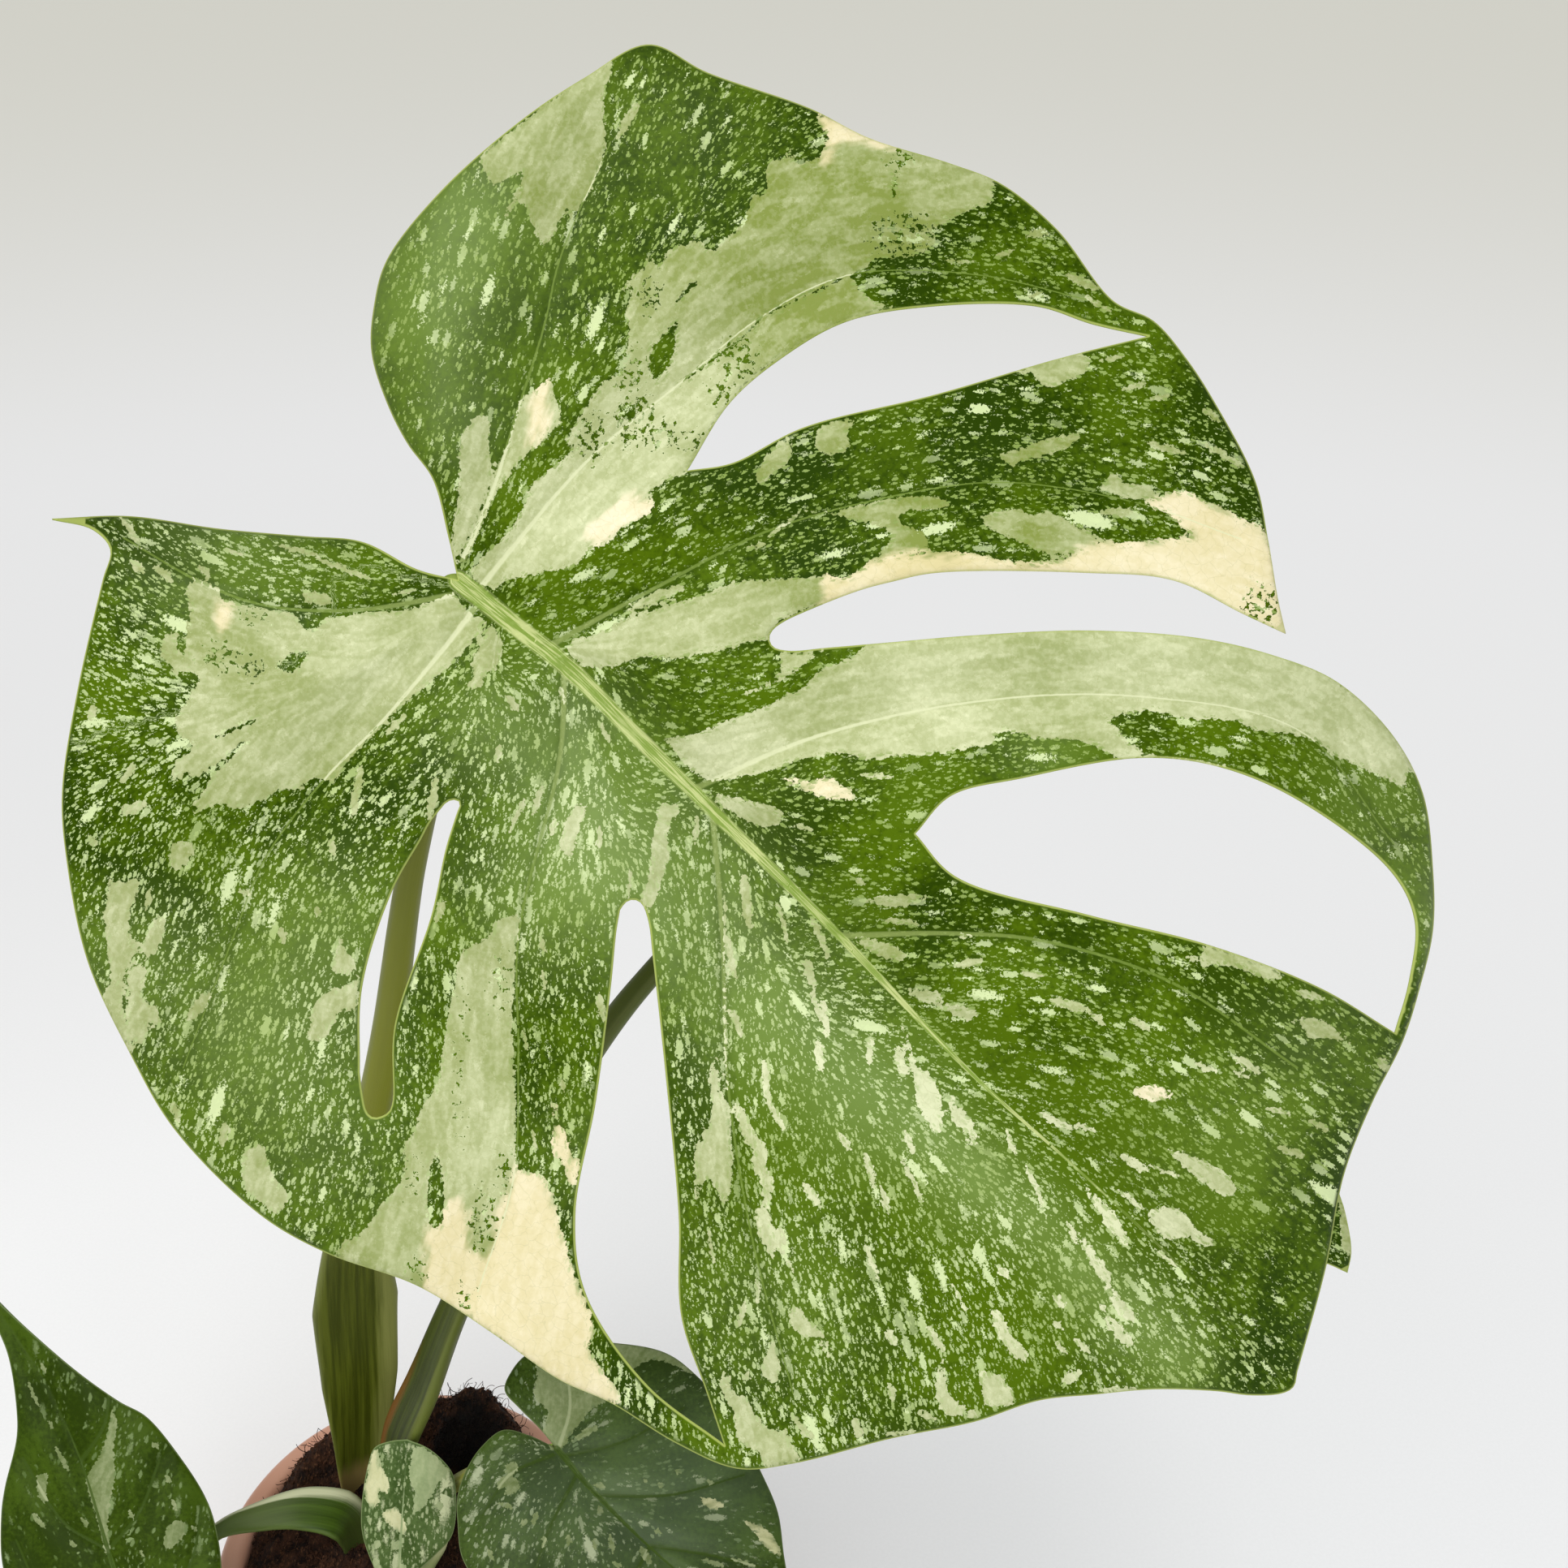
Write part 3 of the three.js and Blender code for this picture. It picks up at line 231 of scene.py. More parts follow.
MAIN_PALE = dict(
    top_left=(
        "590,195 640,155 690,115 745,70 755,83 746,112 744,147 746,179 741,205 733,223 726,243 712,259 "
        "706,277 700,257 692,270 679,295 670,303 663,295 650,263 645,252 639,250 623,268 628,250 637,237 "
        "645,214 628,219 610,230 603,223"),
    top_band=(
        "1009,137 1009,156 1020,170 1014,192 998,199 980,204 976,185 967,196 947,203 945,232 936,245 "
        "929,243 922,257 918,272 907,286 895,295 889,304 873,310 862,297 846,304 835,304 822,315 811,333 "
        "800,315 795,330 784,339 773,350 766,362 779,357 777,370 771,384 775,397 775,415 768,446 766,460 "
        "746,469 737,480 728,491 712,518 697,547 708,550 688,573 668,586 653,600 647,623 636,640 626,657 "
        "611,672 596,686 582,703 586,715 613,725 626,716 668,707 718,692 725,680 749,669 768,651 787,640 "
        "804,630 806,619 798,613 810,602 825,592 850,582 880,530 905,495 945,455 1012,414 1056,396 "
        "1105,382 1076,373 1054,353 1052,337 1063,333 1076,321 1096,319 1123,317 1141,310 1154,295 "
        "1150,286 1177,268 1204,257 1219,252 1222,237 1224,218 1190,203 1150,190 1110,172 1079,160 "
        "1045,145"),
    wedge=(
        "643,491 663,480 677,468 682,473 683,484 692,511 690,522 677,536 668,549 654,558 641,571 628,589 "
        "614,607 603,629 592,656 579,683 565,696 572,674 583,647 596,620 605,594 614,571 628,545 637,513"),
    tongue=(
        "581,518 590,513 600,516 603,527 601,549 605,567 608,585 603,603 596,618 590,638 579,661 570,679 "
        "558,690 556,670 561,638 565,603 566,571 567,545 572,531"),
    blotch_a="1248,458 1279,446 1311,438 1333,435 1342,446 1340,458 1324,467 1306,473 1291,480 1279,471 "
             "1271,462 1257,462",
    blotch_b="1007,531 1029,520 1054,520 1045,531 1045,554 1021,560 1007,556",
    blotch_c="945,562 971,540 974,567 958,580 936,596 931,585",
    blotch_d="1233,560 1264,551 1288,542 1329,536 1324,547 1297,558 1266,567 1239,574",
    blotch_e="1355,600 1373,585 1384,594 1413,600 1427,607 1413,616 1382,614",
    under_vein_a="986,628 1017,632 1065,623 1114,614 1163,616 1170,625 1150,629 1114,632 1105,643 "
                 "1140,660 1143,672 1110,684 1080,690 1100,660 1047,640",
    under_vein_b="1206,638 1253,629 1270,636 1288,632 1306,638 1329,652 1353,665 1346,679 1315,683 "
                 "1288,683 1257,670 1226,656 1208,645",
    strip="768,751 791,738 818,726 844,720 841,728 818,738 802,747 783,753",
    lower_band=(
        "701,795 709,789 730,783 753,774 768,764 798,755 825,745 856,738 883,728 906,718 959,715 "
        "1001,711 1036,713 1060,712 1055,730 1009,745 971,760 955,772 949,787 921,791 902,799 864,806 "
        "833,812 798,810 776,814 749,822 730,822 714,816 703,805"),
    third_lobe=(
        "820,910 844,906 864,902 883,893 902,885 925,877 952,866 967,856 986,850 1001,837 1009,826 "
        "1032,818 1055,806 1066,795 1100,785 1200,772 1350,765 1500,782 1600,812 1700,878 1748,950 "
        "1732,952 1730,971 1723,968 1695,954 1667,943 1639,929 1615,912 1587,905 1545,901 1522,889 "
        "1461,887 1419,877 1387,880 1366,889 1382,905 1389,917 1405,924 1405,940 1377,935 1340,917 "
        "1303,912 1270,910 1261,905 1228,905 1223,917 1200,922 1150,930 1100,933 1066,937 1047,931 "
        "1017,931 978,940 948,950 929,954 906,958 875,961 852,948 833,925"),
    third_streak="955,804 978,806 1017,799 998,814 971,833 940,848 915,856 952,837 963,818",
    under_third_a="961,961 978,959 1001,963 1020,958 1036,967 1053,975 1051,984 1028,986 1005,979 "
                  "982,971",
    under_third_b="877,977 902,981 925,986 952,994 967,1003 955,1017 932,1015 906,1002 887,990",
    left_lobe=(
        "560,731 585,760 596,764 594,778 576,800 554,822 527,845 500,867 480,887 460,907 440,929 "
        "424,947 411,965 400,961 384,958 371,972 348,972 330,983 313,988 295,996 272,990 254,996 "
        "239,1001 243,985 254,972 263,943 241,958 232,952 217,961 214,945 223,934 241,921 232,912 "
        "221,903 219,885 228,871 237,854 248,836 230,827 223,836 212,822 201,809 201,791 210,780 "
        "221,782 219,796 230,809 232,791 230,773 237,755 230,733 237,715 250,717 263,722 272,729 "
        "275,740 290,744 313,749 339,753 366,760 373,773 388,778 402,764 429,760 464,755 500,753 "
        "531,742 554,733"),
    tooth="600,772 605,770 617,787 619,795 611,826 601,827 594,847 578,848 584,833 582,822 586,810 "
          "596,787",
    fleck_a="709,992 722,996 714,1025 701,1059 691,1044 695,1021",
    tall_streak="810,994 833,992 835,1003 825,1017 821,1032 825,1051 814,1086 806,1113 798,1124 "
                "789,1109 795,1090 802,1067 802,1040 808,1013",
    margin_a="136,1083 154,1086 174,1079 167,1108 161,1135 165,1157 174,1159 167,1177 154,1204 "
             "154,1230 156,1253 165,1279 161,1302 147,1284 134,1257 129,1226 138,1208 134,1177 "
             "132,1150 129,1130 134,1104",
    margin_b="199,1124 205,1135 194,1171 183,1179 176,1166 187,1144",
    margin_c="165,1190 179,1186 181,1208 176,1226 192,1239 199,1253 192,1266 185,1257 181,1279 "
             "172,1286 161,1279 156,1248 161,1226 158,1208",
    margin_d="263,1215 259,1235 243,1253 234,1257 237,1239 250,1226",
    fleck_b="422,1152 429,1172 440,1190 433,1199 411,1195 415,1172",
    fleck_c="444,1204 438,1244 422,1244 411,1262 400,1279 382,1279 384,1262 388,1239 406,1221 424,1215",
    diamond="304,1418 324,1409 333,1436 346,1458 357,1471 348,1489 339,1494 319,1476 304,1467 300,1440",
    fleck_d="212,1037 241,1039 230,1066 214,1070",
    lower_stripe=(
        "611,1134 638,1127 642,1131 636,1165 634,1215 632,1261 634,1314 636,1360 636,1406 640,1437 "
        "653,1444 668,1446 680,1467 686,1483 691,1506 699,1532 707,1563 718,1598 730,1624 733,1640 "
        "727,1660 740,1688 765,1720 758,1730 700,1714 640,1672 580,1628 523,1606 470,1594 413,1556 "
        "424,1529 442,1521 460,1503 473,1480 491,1462 500,1436 500,1409 513,1391 520,1364 536,1342 "
        "542,1329 545,1302 551,1262 558,1226 565,1186 573,1169 599,1157 609,1142"),
    tip_a="879,1303 883,1314 890,1349 898,1360 900,1391 902,1444 894,1481 887,1475 877,1456 869,1452 "
          "858,1479 856,1452 858,1406 864,1410 865,1391 873,1387 877,1360 874,1330",
    tip_b="902,1356 915,1364 925,1383 936,1402 946,1414 944,1433 953,1452 953,1467 948,1483 952,1502 "
          "940,1483 940,1464 932,1444 927,1429 929,1418 917,1402 909,1379",
    tip_c="932,1488 944,1488 953,1506 952,1521 961,1509 969,1525 965,1544 955,1536 952,1548 942,1532 "
          "934,1517",
    tip_d="973,1613 986,1609 994,1624 1009,1636 1026,1666 1020,1670 1005,1647 994,1647 976,1632",
    tip_e="952,1650 960,1679 957,1715 950,1700 939,1697 941,1675",
    tip_f="1112,1265 1118,1280 1126,1307 1137,1320 1145,1322 1154,1341 1160,1364 1156,1399 1151,1395 "
          "1141,1379 1130,1364 1126,1337 1120,1314 1114,1291",
    tip_g="1172,1349 1181,1364 1189,1370 1200,1391 1206,1408 1195,1410 1189,1416 1191,1402 1181,1387 "
          "1174,1385 1170,1364",
    tip_h="1334,1460 1344,1467 1359,1483 1375,1498 1386,1521 1390,1536 1375,1525 1361,1509 1352,1490 "
          "1340,1475",
    tip_i="1313,1504 1325,1517 1340,1532 1355,1552 1369,1571 1365,1578 1375,1594 1390,1609 1401,1628 "
          "1386,1624 1371,1609 1359,1582 1344,1559 1332,1536 1319,1525",
    tip_j="1352,1599 1365,1620 1380,1632 1398,1655 1394,1659 1371,1643 1361,1628",
    tip_k="1220,1603 1233,1617 1241,1636 1256,1655 1267,1670 1260,1676 1244,1666 1233,1651 1225,1636",
    tip_l="892,1688 899,1693 903,1715 919,1720 932,1742 950,1760 970,1762 977,1782 986,1796 968,1806 "
          "943,1806 932,1784 910,1773 905,1742 888,1706",
    tip_m="1160,1675 1164,1693 1169,1715 1187,1731 1209,1740 1204,1746 1182,1742 1164,1740 1153,1715 "
          "1155,1688",
    tip_n="1204,1688 1231,1693 1242,1706 1251,1726 1236,1731 1213,1729 1209,1711",
    right_a="1049,1154 1065,1155 1088,1161 1114,1173 1116,1180 1107,1183 1084,1177 1065,1167",
    right_b="1114,1217 1130,1217 1149,1219 1160,1221 1158,1230 1183,1238 1206,1244 1200,1254 "
            "1179,1251 1160,1240 1137,1232 1122,1224",
    right_c="1068,1110 1091,1102 1145,1104 1130,1111 1107,1117 1080,1113",
    right_d="1440,1416 1463,1420 1490,1433 1515,1450 1522,1468 1510,1472 1485,1458 1462,1440 "
            "1448,1428",
    right_e="1417,1490 1436,1485 1451,1487 1466,1502 1474,1513 1493,1525 1495,1531 1482,1532 "
            "1463,1523 1440,1525 1424,1513 1415,1500",
    right_f="1482,1160 1499,1165 1527,1174 1555,1184 1576,1193 1578,1204 1559,1207 1536,1197 "
            "1508,1188 1485,1190 1461,1179 1480,1176",
    right_g="1590,1258 1611,1253 1630,1258 1648,1272 1662,1284 1634,1279 1611,1279 1606,1267",
)
MAIN_CREAM = dict(
    band=(
        "1018,707 1036,713 1063,700 1070,692 1096,685 1137,683 1180,680 1248,692 1302,690 1329,679 "
        "1355,667 1387,670 1413,667 1436,665 1467,661 1458,654 1436,634 1411,623 1440,607 1462,607 "
        "1480,616 1506,626 1526,639 1556,651 1575,700 1592,788 1540,775 1480,738 1430,722 1300,718 "
        "1150,718 1060,735 1009,748"),
    top_rim="1009,137 1045,150 1079,163 1112,178 1085,182 1060,175 1040,178 1028,195 1015,203 "
            "1012,190 1020,170 1009,156",
    slit_side="798,613 806,619 804,630 787,640 768,651 749,669 727,668 726,655 745,640 757,627 "
              "770,617",
    wedge="663,480 677,470 676,500 672,530 660,552 650,560 655,530 655,500",
    left_lobe="268,746 282,750 282,768 275,782 268,770",
    stripe=(
        "636,1440 653,1444 668,1446 680,1467 691,1506 707,1563 730,1624 727,1660 765,1720 758,1730 "
        "700,1714 640,1672 580,1628 523,1602 523,1575 527,1544 523,1521 531,1511 544,1506 546,1483 "
        "561,1475 571,1483 577,1506 580,1540 601,1546 611,1517 619,1483 632,1456"),
    peach="682,1356 688,1360 689,1383 697,1391 703,1410 707,1425 714,1427 710,1460 707,1464 697,1441 "
          "691,1427 684,1425 682,1398 686,1379 681,1368",
    spot="1396,1341 1405,1336 1432,1339 1443,1347 1432,1354 1415,1356 1399,1349",
    blotch="961,961 978,959 1001,963 1020,958 1036,967 1053,975 1051,984 1028,986 1005,979 982,971",
)
MAIN_DARK = dict(
    top_a="833,397 831,424 828,442 815,464 804,469 799,451 804,429 820,411",
    top_b="764,498 782,502 780,516 766,514",
    left_a="342,818 357,809 379,805 373,818 362,831 346,825",
    stripe="538,1421 545,1437 547,1460 544,1506 534,1511 529,1483 529,1452 534,1429",
)
MAIN_STREAKS = (
    "762,170,786,130,12 1264,290,1290,288,9 1315,340,1354,358,12 1338,368,1368,386,6 "
    "1226,318,1248,309,6 1266,368,1283,362,5 1163,322,1198,324,4 1413,547,1458,560,8 "
    "1384,482,1410,474,7 1413,493,1440,490,6 1485,550,1530,575,8 1482,506,1502,520,8 "
    "1356,446,1384,441,6 1357,632,1396,633,10 948,661,983,634,5 921,676,944,671,5 "
    "1062,955,1100,958,6 978,1016,1003,1022,5 1053,1082,1068,1088,6 1072,1107,1100,1112,7 "
    "690,848,697,868,8 622,858,638,876,9 538,958,529,1009,10 668,970,655,1005,8 646,985,628,1025,6 "
    "616,920,612,938,8 776,1070,775,1105,4 740,1020,738,1045,6 685,1010,680,1030,7 859,1007,856,1040,7 "
    "741,893,750,915,7 547,1110,538,1133,11 186,1095,182,1120,7 215,1360,222,1380,10 "
    "280,1382,276,1410,12 152,1001,182,990,13 112,1030,120,1040,10 118,868,113,888,10 "
    "168,942,152,963,9 410,1036,412,1053,9 447,945,437,1005,10 500,882,477,905,8 348,1142,352,1162,10 "
    "297,1097,312,1101,8 392,1117,393,1128,8 150,640,175,676,8 192,700,214,717,9 163,693,178,706,9 "
    "345,675,392,686,6 393,692,460,715,7 279,680,303,686,4 375,735,410,742,12 485,733,511,728,5 "
    "246,700,258,710,8 738,1225,744,1258,10 694,1330,697,1345,6 658,1392,661,1416,4 646,1270,651,1293,5 "
    "668,1150,672,1175,6 670,1197,674,1217,4 894,1100,893,1200,4 893,1200,895,1340,4 898,1156,906,1205,8 "
    "902,1245,914,1275,9 966,1548,980,1566,4 942,1307,948,1362,10 950,1362,966,1390,8 "
    "992,1182,1001,1215,11 1001,1215,1009,1257,6 1015,1236,1020,1278,8 1007,1282,1013,1320,11 "
    "1071,1278,1071,1311,9 916,1080,924,1142,13 957,1110,970,1163,5 1001,1132,1020,1180,9 "
    "1066,1422,1077,1460,9 992,1458,1010,1485,10 1087,1466,1094,1494,8 1064,1528,1083,1577,6 "
    "931,1576,934,1603,6 917,1603,910,1633,8 873,1515,879,1553,4 1105,1292,1112,1323,11 "
    "1240,1395,1250,1424,7 1264,1437,1285,1486,6 1228,1560,1240,1572,10 1297,1595,1311,1608,9 "
    "1297,1626,1308,1636,8 1143,1634,1162,1662,9 1092,1637,1104,1656,11 1174,1582,1190,1615,4 "
    "1110,1425,1136,1480,6 1114,1393,1125,1420,9 1033,1395,1047,1415,8 920,1690,920,1700,9 "
    "975,1742,1003,1773,9 1053,1745,1060,1770,11 1310,1700,1330,1690,14 1355,1712,1400,1712,10 "
    "1133,1738,1152,1747,8 1093,1766,1128,1762,6 1097,1704,1100,1724,9 1324,1650,1342,1664,8 "
    "1300,1653,1313,1665,7 1090,1132,1132,1138,7 1177,1152,1197,1153,6 1180,1190,1210,1182,10 "
    "1259,1198,1284,1203,8 1296,1232,1340,1245,12 1345,1250,1360,1262,9 1392,1255,1415,1268,8 "
    "1472,1310,1495,1319,8 1283,1371,1322,1390,9 1329,1384,1350,1392,6 1382,1422,1410,1440,12 "
    "1415,1434,1452,1447,4 1378,1465,1408,1488,7 1422,1538,1450,1560,5 1597,1222,1628,1230,10 "
    "1697,1305,1711,1322,12 1520,1303,1552,1322,9 1519,1320,1535,1327,5 1560,1365,1587,1372,6 "
    "1612,1380,1634,1392,8 1575,1412,1603,1424,10 1380,930,1508,943,5")
MAIN_DARK_STREAKS = (
    "833,373,858,348,4 840,473,913,420,2 913,420,940,391,2 940,391,994,366,2 994,366,1056,337,2 "
    "1103,212,1101,243,3 268,908,317,887,4 257,955,303,915,6")
# Patches of fine green flecks in the pale parts: the middle and the half size of each
MAIN_MOTTLE = (
    "802,366,14,24 775,461,18,31 728,538,20,34 782,520,28,38 817,539,22,19 856,540,17,13 910,445,26,28 "
    "890,484,20,16 1111,194,21,16 1112,291,42,29 310,824,16,16 314,762,17,11 275,808,25,18 "
    "622,1442,12,25 596,1505,20,39 575,1597,13,16 514,1565,14,17 508,1444,8,23 616,1210,12,36 "
    "574,1265,5,26 565,1325,4,26 568,1373,4,22 1206,665,30,11 1552,750,24,30")


# Spots of painted sheen and painted light: middle, reach, and strength in hundredths. They mix the green
# towards a lighter grey-green, as the window's reflection left of the midrib and as light on the top-left
# lobe, and give a clear coat there, which reflects for real.
MAIN_PAINTED_SHEEN = (
    "330,1260,130,75 160,1180,70,40 700,900,80,45 760,1010,100,60 850,1130,110,75 700,1060,90,50 "
    "960,1260,90,80 1070,1350,80,80 1150,1400,50,75 1210,1450,45,75 1270,1500,45,75 1330,1560,45,80 "
    "1390,1620,50,85 1450,1670,45,70 1190,1480,60,25 540,340,130,50 500,400,70,30 590,240,100,45 "
    "550,520,70,45 830,160,120,15 1740,1120,90,50 "
    "1690,980,60,30 640,1120,80,45 420,1130,80,45 280,680,110,45 420,1420,110,30 740,1430,80,30 "
    "1520,1400,100,25 1620,1300,80,25 950,1600,120,25 620,900,80,45 1290,905,60,45")
# Lighter and darker places, in the pale parts and in the green: middle, reach, and the change in hundredths.
# They are partly painted shade and painted light, as where the cream rim rolls under, and partly the tissue's
# own tone.
MAIN_TONE_LIGHT_AND_SHADE = (
    "700,655,110,35 800,560,80,25 880,480,60,20 980,290,120,-32 1160,250,90,-20 1080,340,80,-14 "
    "880,400,80,-8 680,220,90,-20 1350,815,170,12 1650,860,120,18 1750,940,80,12 1130,905,120,35 "
    "1500,880,120,25 900,930,70,35 330,880,120,5 520,790,90,20 "
    "590,1220,90,10 570,1400,70,20 850,760,120,10 1140,700,60,-40 1260,692,45,-35 1050,560,140,-20 "
    "900,650,80,-12 1250,520,120,-15 1400,540,90,-12 1500,470,90,-8 "
    "1150,1350,150,45 1300,1500,170,45 1450,1450,170,32 1250,1690,160,35 980,1330,120,40 1010,1560,150,30 "
    "1480,1290,120,14 1680,1430,130,-30 1560,1560,150,-14 1100,1180,100,-12 740,1000,120,20")


def read_marks(text, numbers):
    """The marks in a text, one row of numbers for each."""
    return np.array([[float(n) for n in mark.split(",")] for mark in text.split()]).reshape(-1, numbers)


# Lines and loops in a drawing

def smooth_curve(points, per_span=14):
    """A centripetal curve through the points, with its ends run on straight."""
    p = np.array(points, float)
    p = np.vstack([2 * p[0] - p[1], p, 2 * p[-1] - p[-2]])
    spans = []
    for p0, p1, p2, p3 in zip(p, p[1:], p[2:], p[3:]):
        d0, d1, d2 = [np.linalg.norm(b - a) ** 0.5 for a, b in ((p0, p1), (p1, p2), (p2, p3))]
        t1 = d1 * ((p1 - p0) / d0 - (p2 - p0) / (d0 + d1) + (p2 - p1) / d1)
        t2 = d1 * ((p2 - p1) / d1 - (p3 - p1) / (d1 + d2) + (p3 - p2) / d2)
        t = np.linspace(0, 1, per_span, endpoint=False)[:, None]
        spans.append(p1 + t1 * t + (3 * (p2 - p1) - 2 * t1 - t2) * t**2 + (2 * (p1 - p2) + t1 + t2) * t**3)
    return np.vstack([*spans, p[-2:-1]])


def respaced(line, step):
    """The line again, with its points the same way apart, about a step."""
    lengths = np.concatenate([[0], np.cumsum(np.linalg.norm(np.diff(line, axis=0), axis=1))])
    count = max(2, round(lengths[-1] / step))
    places = np.linspace(0, lengths[-1], count + 1)
    return np.stack([np.interp(places, lengths, line[:, n]) for n in range(line.shape[1])], axis=1)


def closed_loop(runs, step):
    """A closed outline of smooth runs. Each run starts at a corner and ends where the next one starts."""
    lines = []
    for run, following in zip(runs, runs[1:] + runs[:1]):
        lines.append(respaced(smooth_curve(run + [following[0]]), step)[:-1])
    return np.vstack(lines)


def is_inside(points, loop):
    """Whether each point lies inside the loop."""
    inside = np.zeros(len(points), bool)
    x, y = points[:, 0], points[:, 1]
    for a, b in zip(loop, np.roll(loop, -1, axis=0)):
        if a[1] != b[1]:
            crosses = ((a[1] > y) != (b[1] > y)) & (x < (b[0] - a[0]) * (y - a[1]) / (b[1] - a[1]) + a[0])
            inside ^= crosses
    return inside


def nearest_on(points, line):
    """Each point's distance to the line, the line's direction there, and whether it lies to its left.

    The side is positive to the left of the line, as one looks along it.
    """
    nearest = np.full(len(points), np.inf)
    direction = np.zeros((len(points), 2))
    side = np.zeros(len(points))
    for a, b in zip(line, line[1:]):
        along = b - a
        away = points - a
        length = max(1e-9, float(along @ along))
        t = np.clip(away @ along / length, 0, 1)
        distance = np.linalg.norm(away - t[:, None] * along, axis=1)
        closer = distance < nearest
        nearest[closer] = distance[closer]
        direction[closer] = along / math.sqrt(length)
        side[closer] = (along[0] * away[:, 1] - along[1] * away[:, 0])[closer]
    return nearest, direction, side


def depth_in(points, loop, reach=MARK_REACH):
    """How far each point lies inside the loop. It is negative outside, down to minus the reach."""
    depth = np.full(len(points), -float(reach))
    near = np.all((points > loop.min(axis=0) - reach) & (points < loop.max(axis=0) + reach), axis=1)
    distance = nearest_on(points[near], np.vstack([loop, loop[:1]]))[0]
    depth[near] = np.where(is_inside(points[near], loop), distance, np.maximum(-distance, -reach))
    return depth


def streak_depth(points, start, end, width, reach=MARK_REACH):
    """How far each point lies inside a streak that thins towards both its ends."""
    depth = np.full(len(points), -float(reach))
    low, high = np.minimum(start, end) - reach, np.maximum(start, end) + reach
    near = np.all((points > low) & (points < high), axis=1)
    along = end - start
    t = np.clip((points[near] - start) @ along / float(along @ along), 0, 1)
    distance = np.linalg.norm(points[near] - start - t[:, None] * along, axis=1)
    half = width / 2 * (0.35 + 0.65 * np.sqrt(np.clip(4 * t * (1 - t), 0, 1)))
    depth[near] = np.maximum(half - distance, -reach)
    return depth


# Blades

def on_sight(base, drawn, relief):
    """Points of a leaf's drawing, brought nearer to the eye by their relief."""
    reach = np.array(base) + drawn[:, :1] * ACROSS + drawn[:, 1:2] * UPWARD - EYE
    return EYE + reach * (1 - relief / (reach @ GAZE))[:, None]


def folded_back(drawn, folds):
    """The left lobe folds back above its uppermost vein. The other lobes' ends and rims roll back."""
    x, y = drawn.T
    ebb = folds["ebb"] * np.maximum(0, (folds["ebb_from"] - x) / folds["ebb_run"]) ** 1.5
    crest = np.clip(y - folds["foot"] - ebb, 0, folds["highest"])
    share = np.clip((folds["left_of"] - x) / folds["run"], 0, 1)
    folded = np.where(y < folds["below"], folds["steepness"] * share * crest, 0)
    curled = folds["rim_curl"] * np.maximum(0, folds["rim_from"] - x) ** 2
    rolled = folds["end_curl"] * np.maximum(0, x - folds["end_from"]) ** 2
    return -folded - np.where(y > folds["below"], curled, 0) - rolled


def relief_of(leaf, drawn, from_midrib, from_vein):
    """The solids' relief: a valley at the midrib, grooves at the veins, drooping ends."""
    form = leaf["form"]
    from_base = np.linalg.norm(drawn, axis=1)
    valley = form["valley"] * form["reach"] * (1 - np.exp(-from_midrib / form["reach"]))
    groove = form["quilt"] * (1 - np.exp(-((np.minimum(from_vein, from_midrib) / form["groove"]) ** 2)))
    droop = form["droop"] * np.maximum(0, from_base - form["droop_from"]) ** 2
    wave = form["wave"] * np.sin(form["waves"] * np.arctan2(drawn[:, 1], drawn[:, 0]))
    relief = drawn @ np.array(form["lean"]) + valley + groove + wave * from_base / form["droop_from"]
    relief += -form["arch"] * from_midrib**2 - droop
    if "folds" in leaf:
        relief += folded_back(drawn, leaf["folds"])
    return relief


def vein_field(leaf, drawn):
    """Distances to the midrib and the veins, the veins' angle and the midrib's side at each point."""
    from_midrib, _, side = nearest_on(drawn, leaf["midrib_line"])
    from_vein = np.full(len(drawn), 99.0)
    flow = np.zeros((len(drawn), 2))
    for line in leaf["vein_lines"] or [leaf["midrib_line"]]:
        distance, direction, _ = nearest_on(drawn, line)
        flow += direction / ((distance + 3) ** 3)[:, None]
        if leaf["vein_lines"]:
            from_vein = np.minimum(from_vein, distance)
    return from_midrib, from_vein, np.arctan2(flow[:, 1], flow[:, 0]), side


def tree_of(points):
    """A tree that finds the nearest of some points of a drawing."""
    tree = kdtree.KDTree(len(points))
    for i, (x, y) in enumerate(points):
        tree.insert((x, y, 0), i)
    tree.balance()
    return tree


def rim_distance(drawn, loops):
    """Each point's distance to the nearest of the loops."""
    ends = np.concatenate([np.stack([loop, np.roll(loop, 1, axis=0), np.roll(loop, -1, axis=0)], axis=1)
                           for loop in loops])
    tree = tree_of(ends[:, 0])
    ends = ends[[tree.find((x, y, 0))[1] for x, y in drawn]]
    distance = np.full(len(drawn), np.inf)
    for other in (1, 2):
        start, along = ends[:, 0], ends[:, other] - ends[:, 0]
        t = np.clip(((drawn - start) * along).sum(axis=1) / (along * along).sum(axis=1), 0, 1)
        distance = np.minimum(distance, np.linalg.norm(drawn - start - t[:, None] * along, axis=1))
    return distance


def on_blade(points, contour, holes):
    """Whether each point lies inside the outline and in none of the slits."""
    inside = is_inside(points, contour)
    for hole in holes:
        inside &= ~is_inside(points, hole)
    return inside


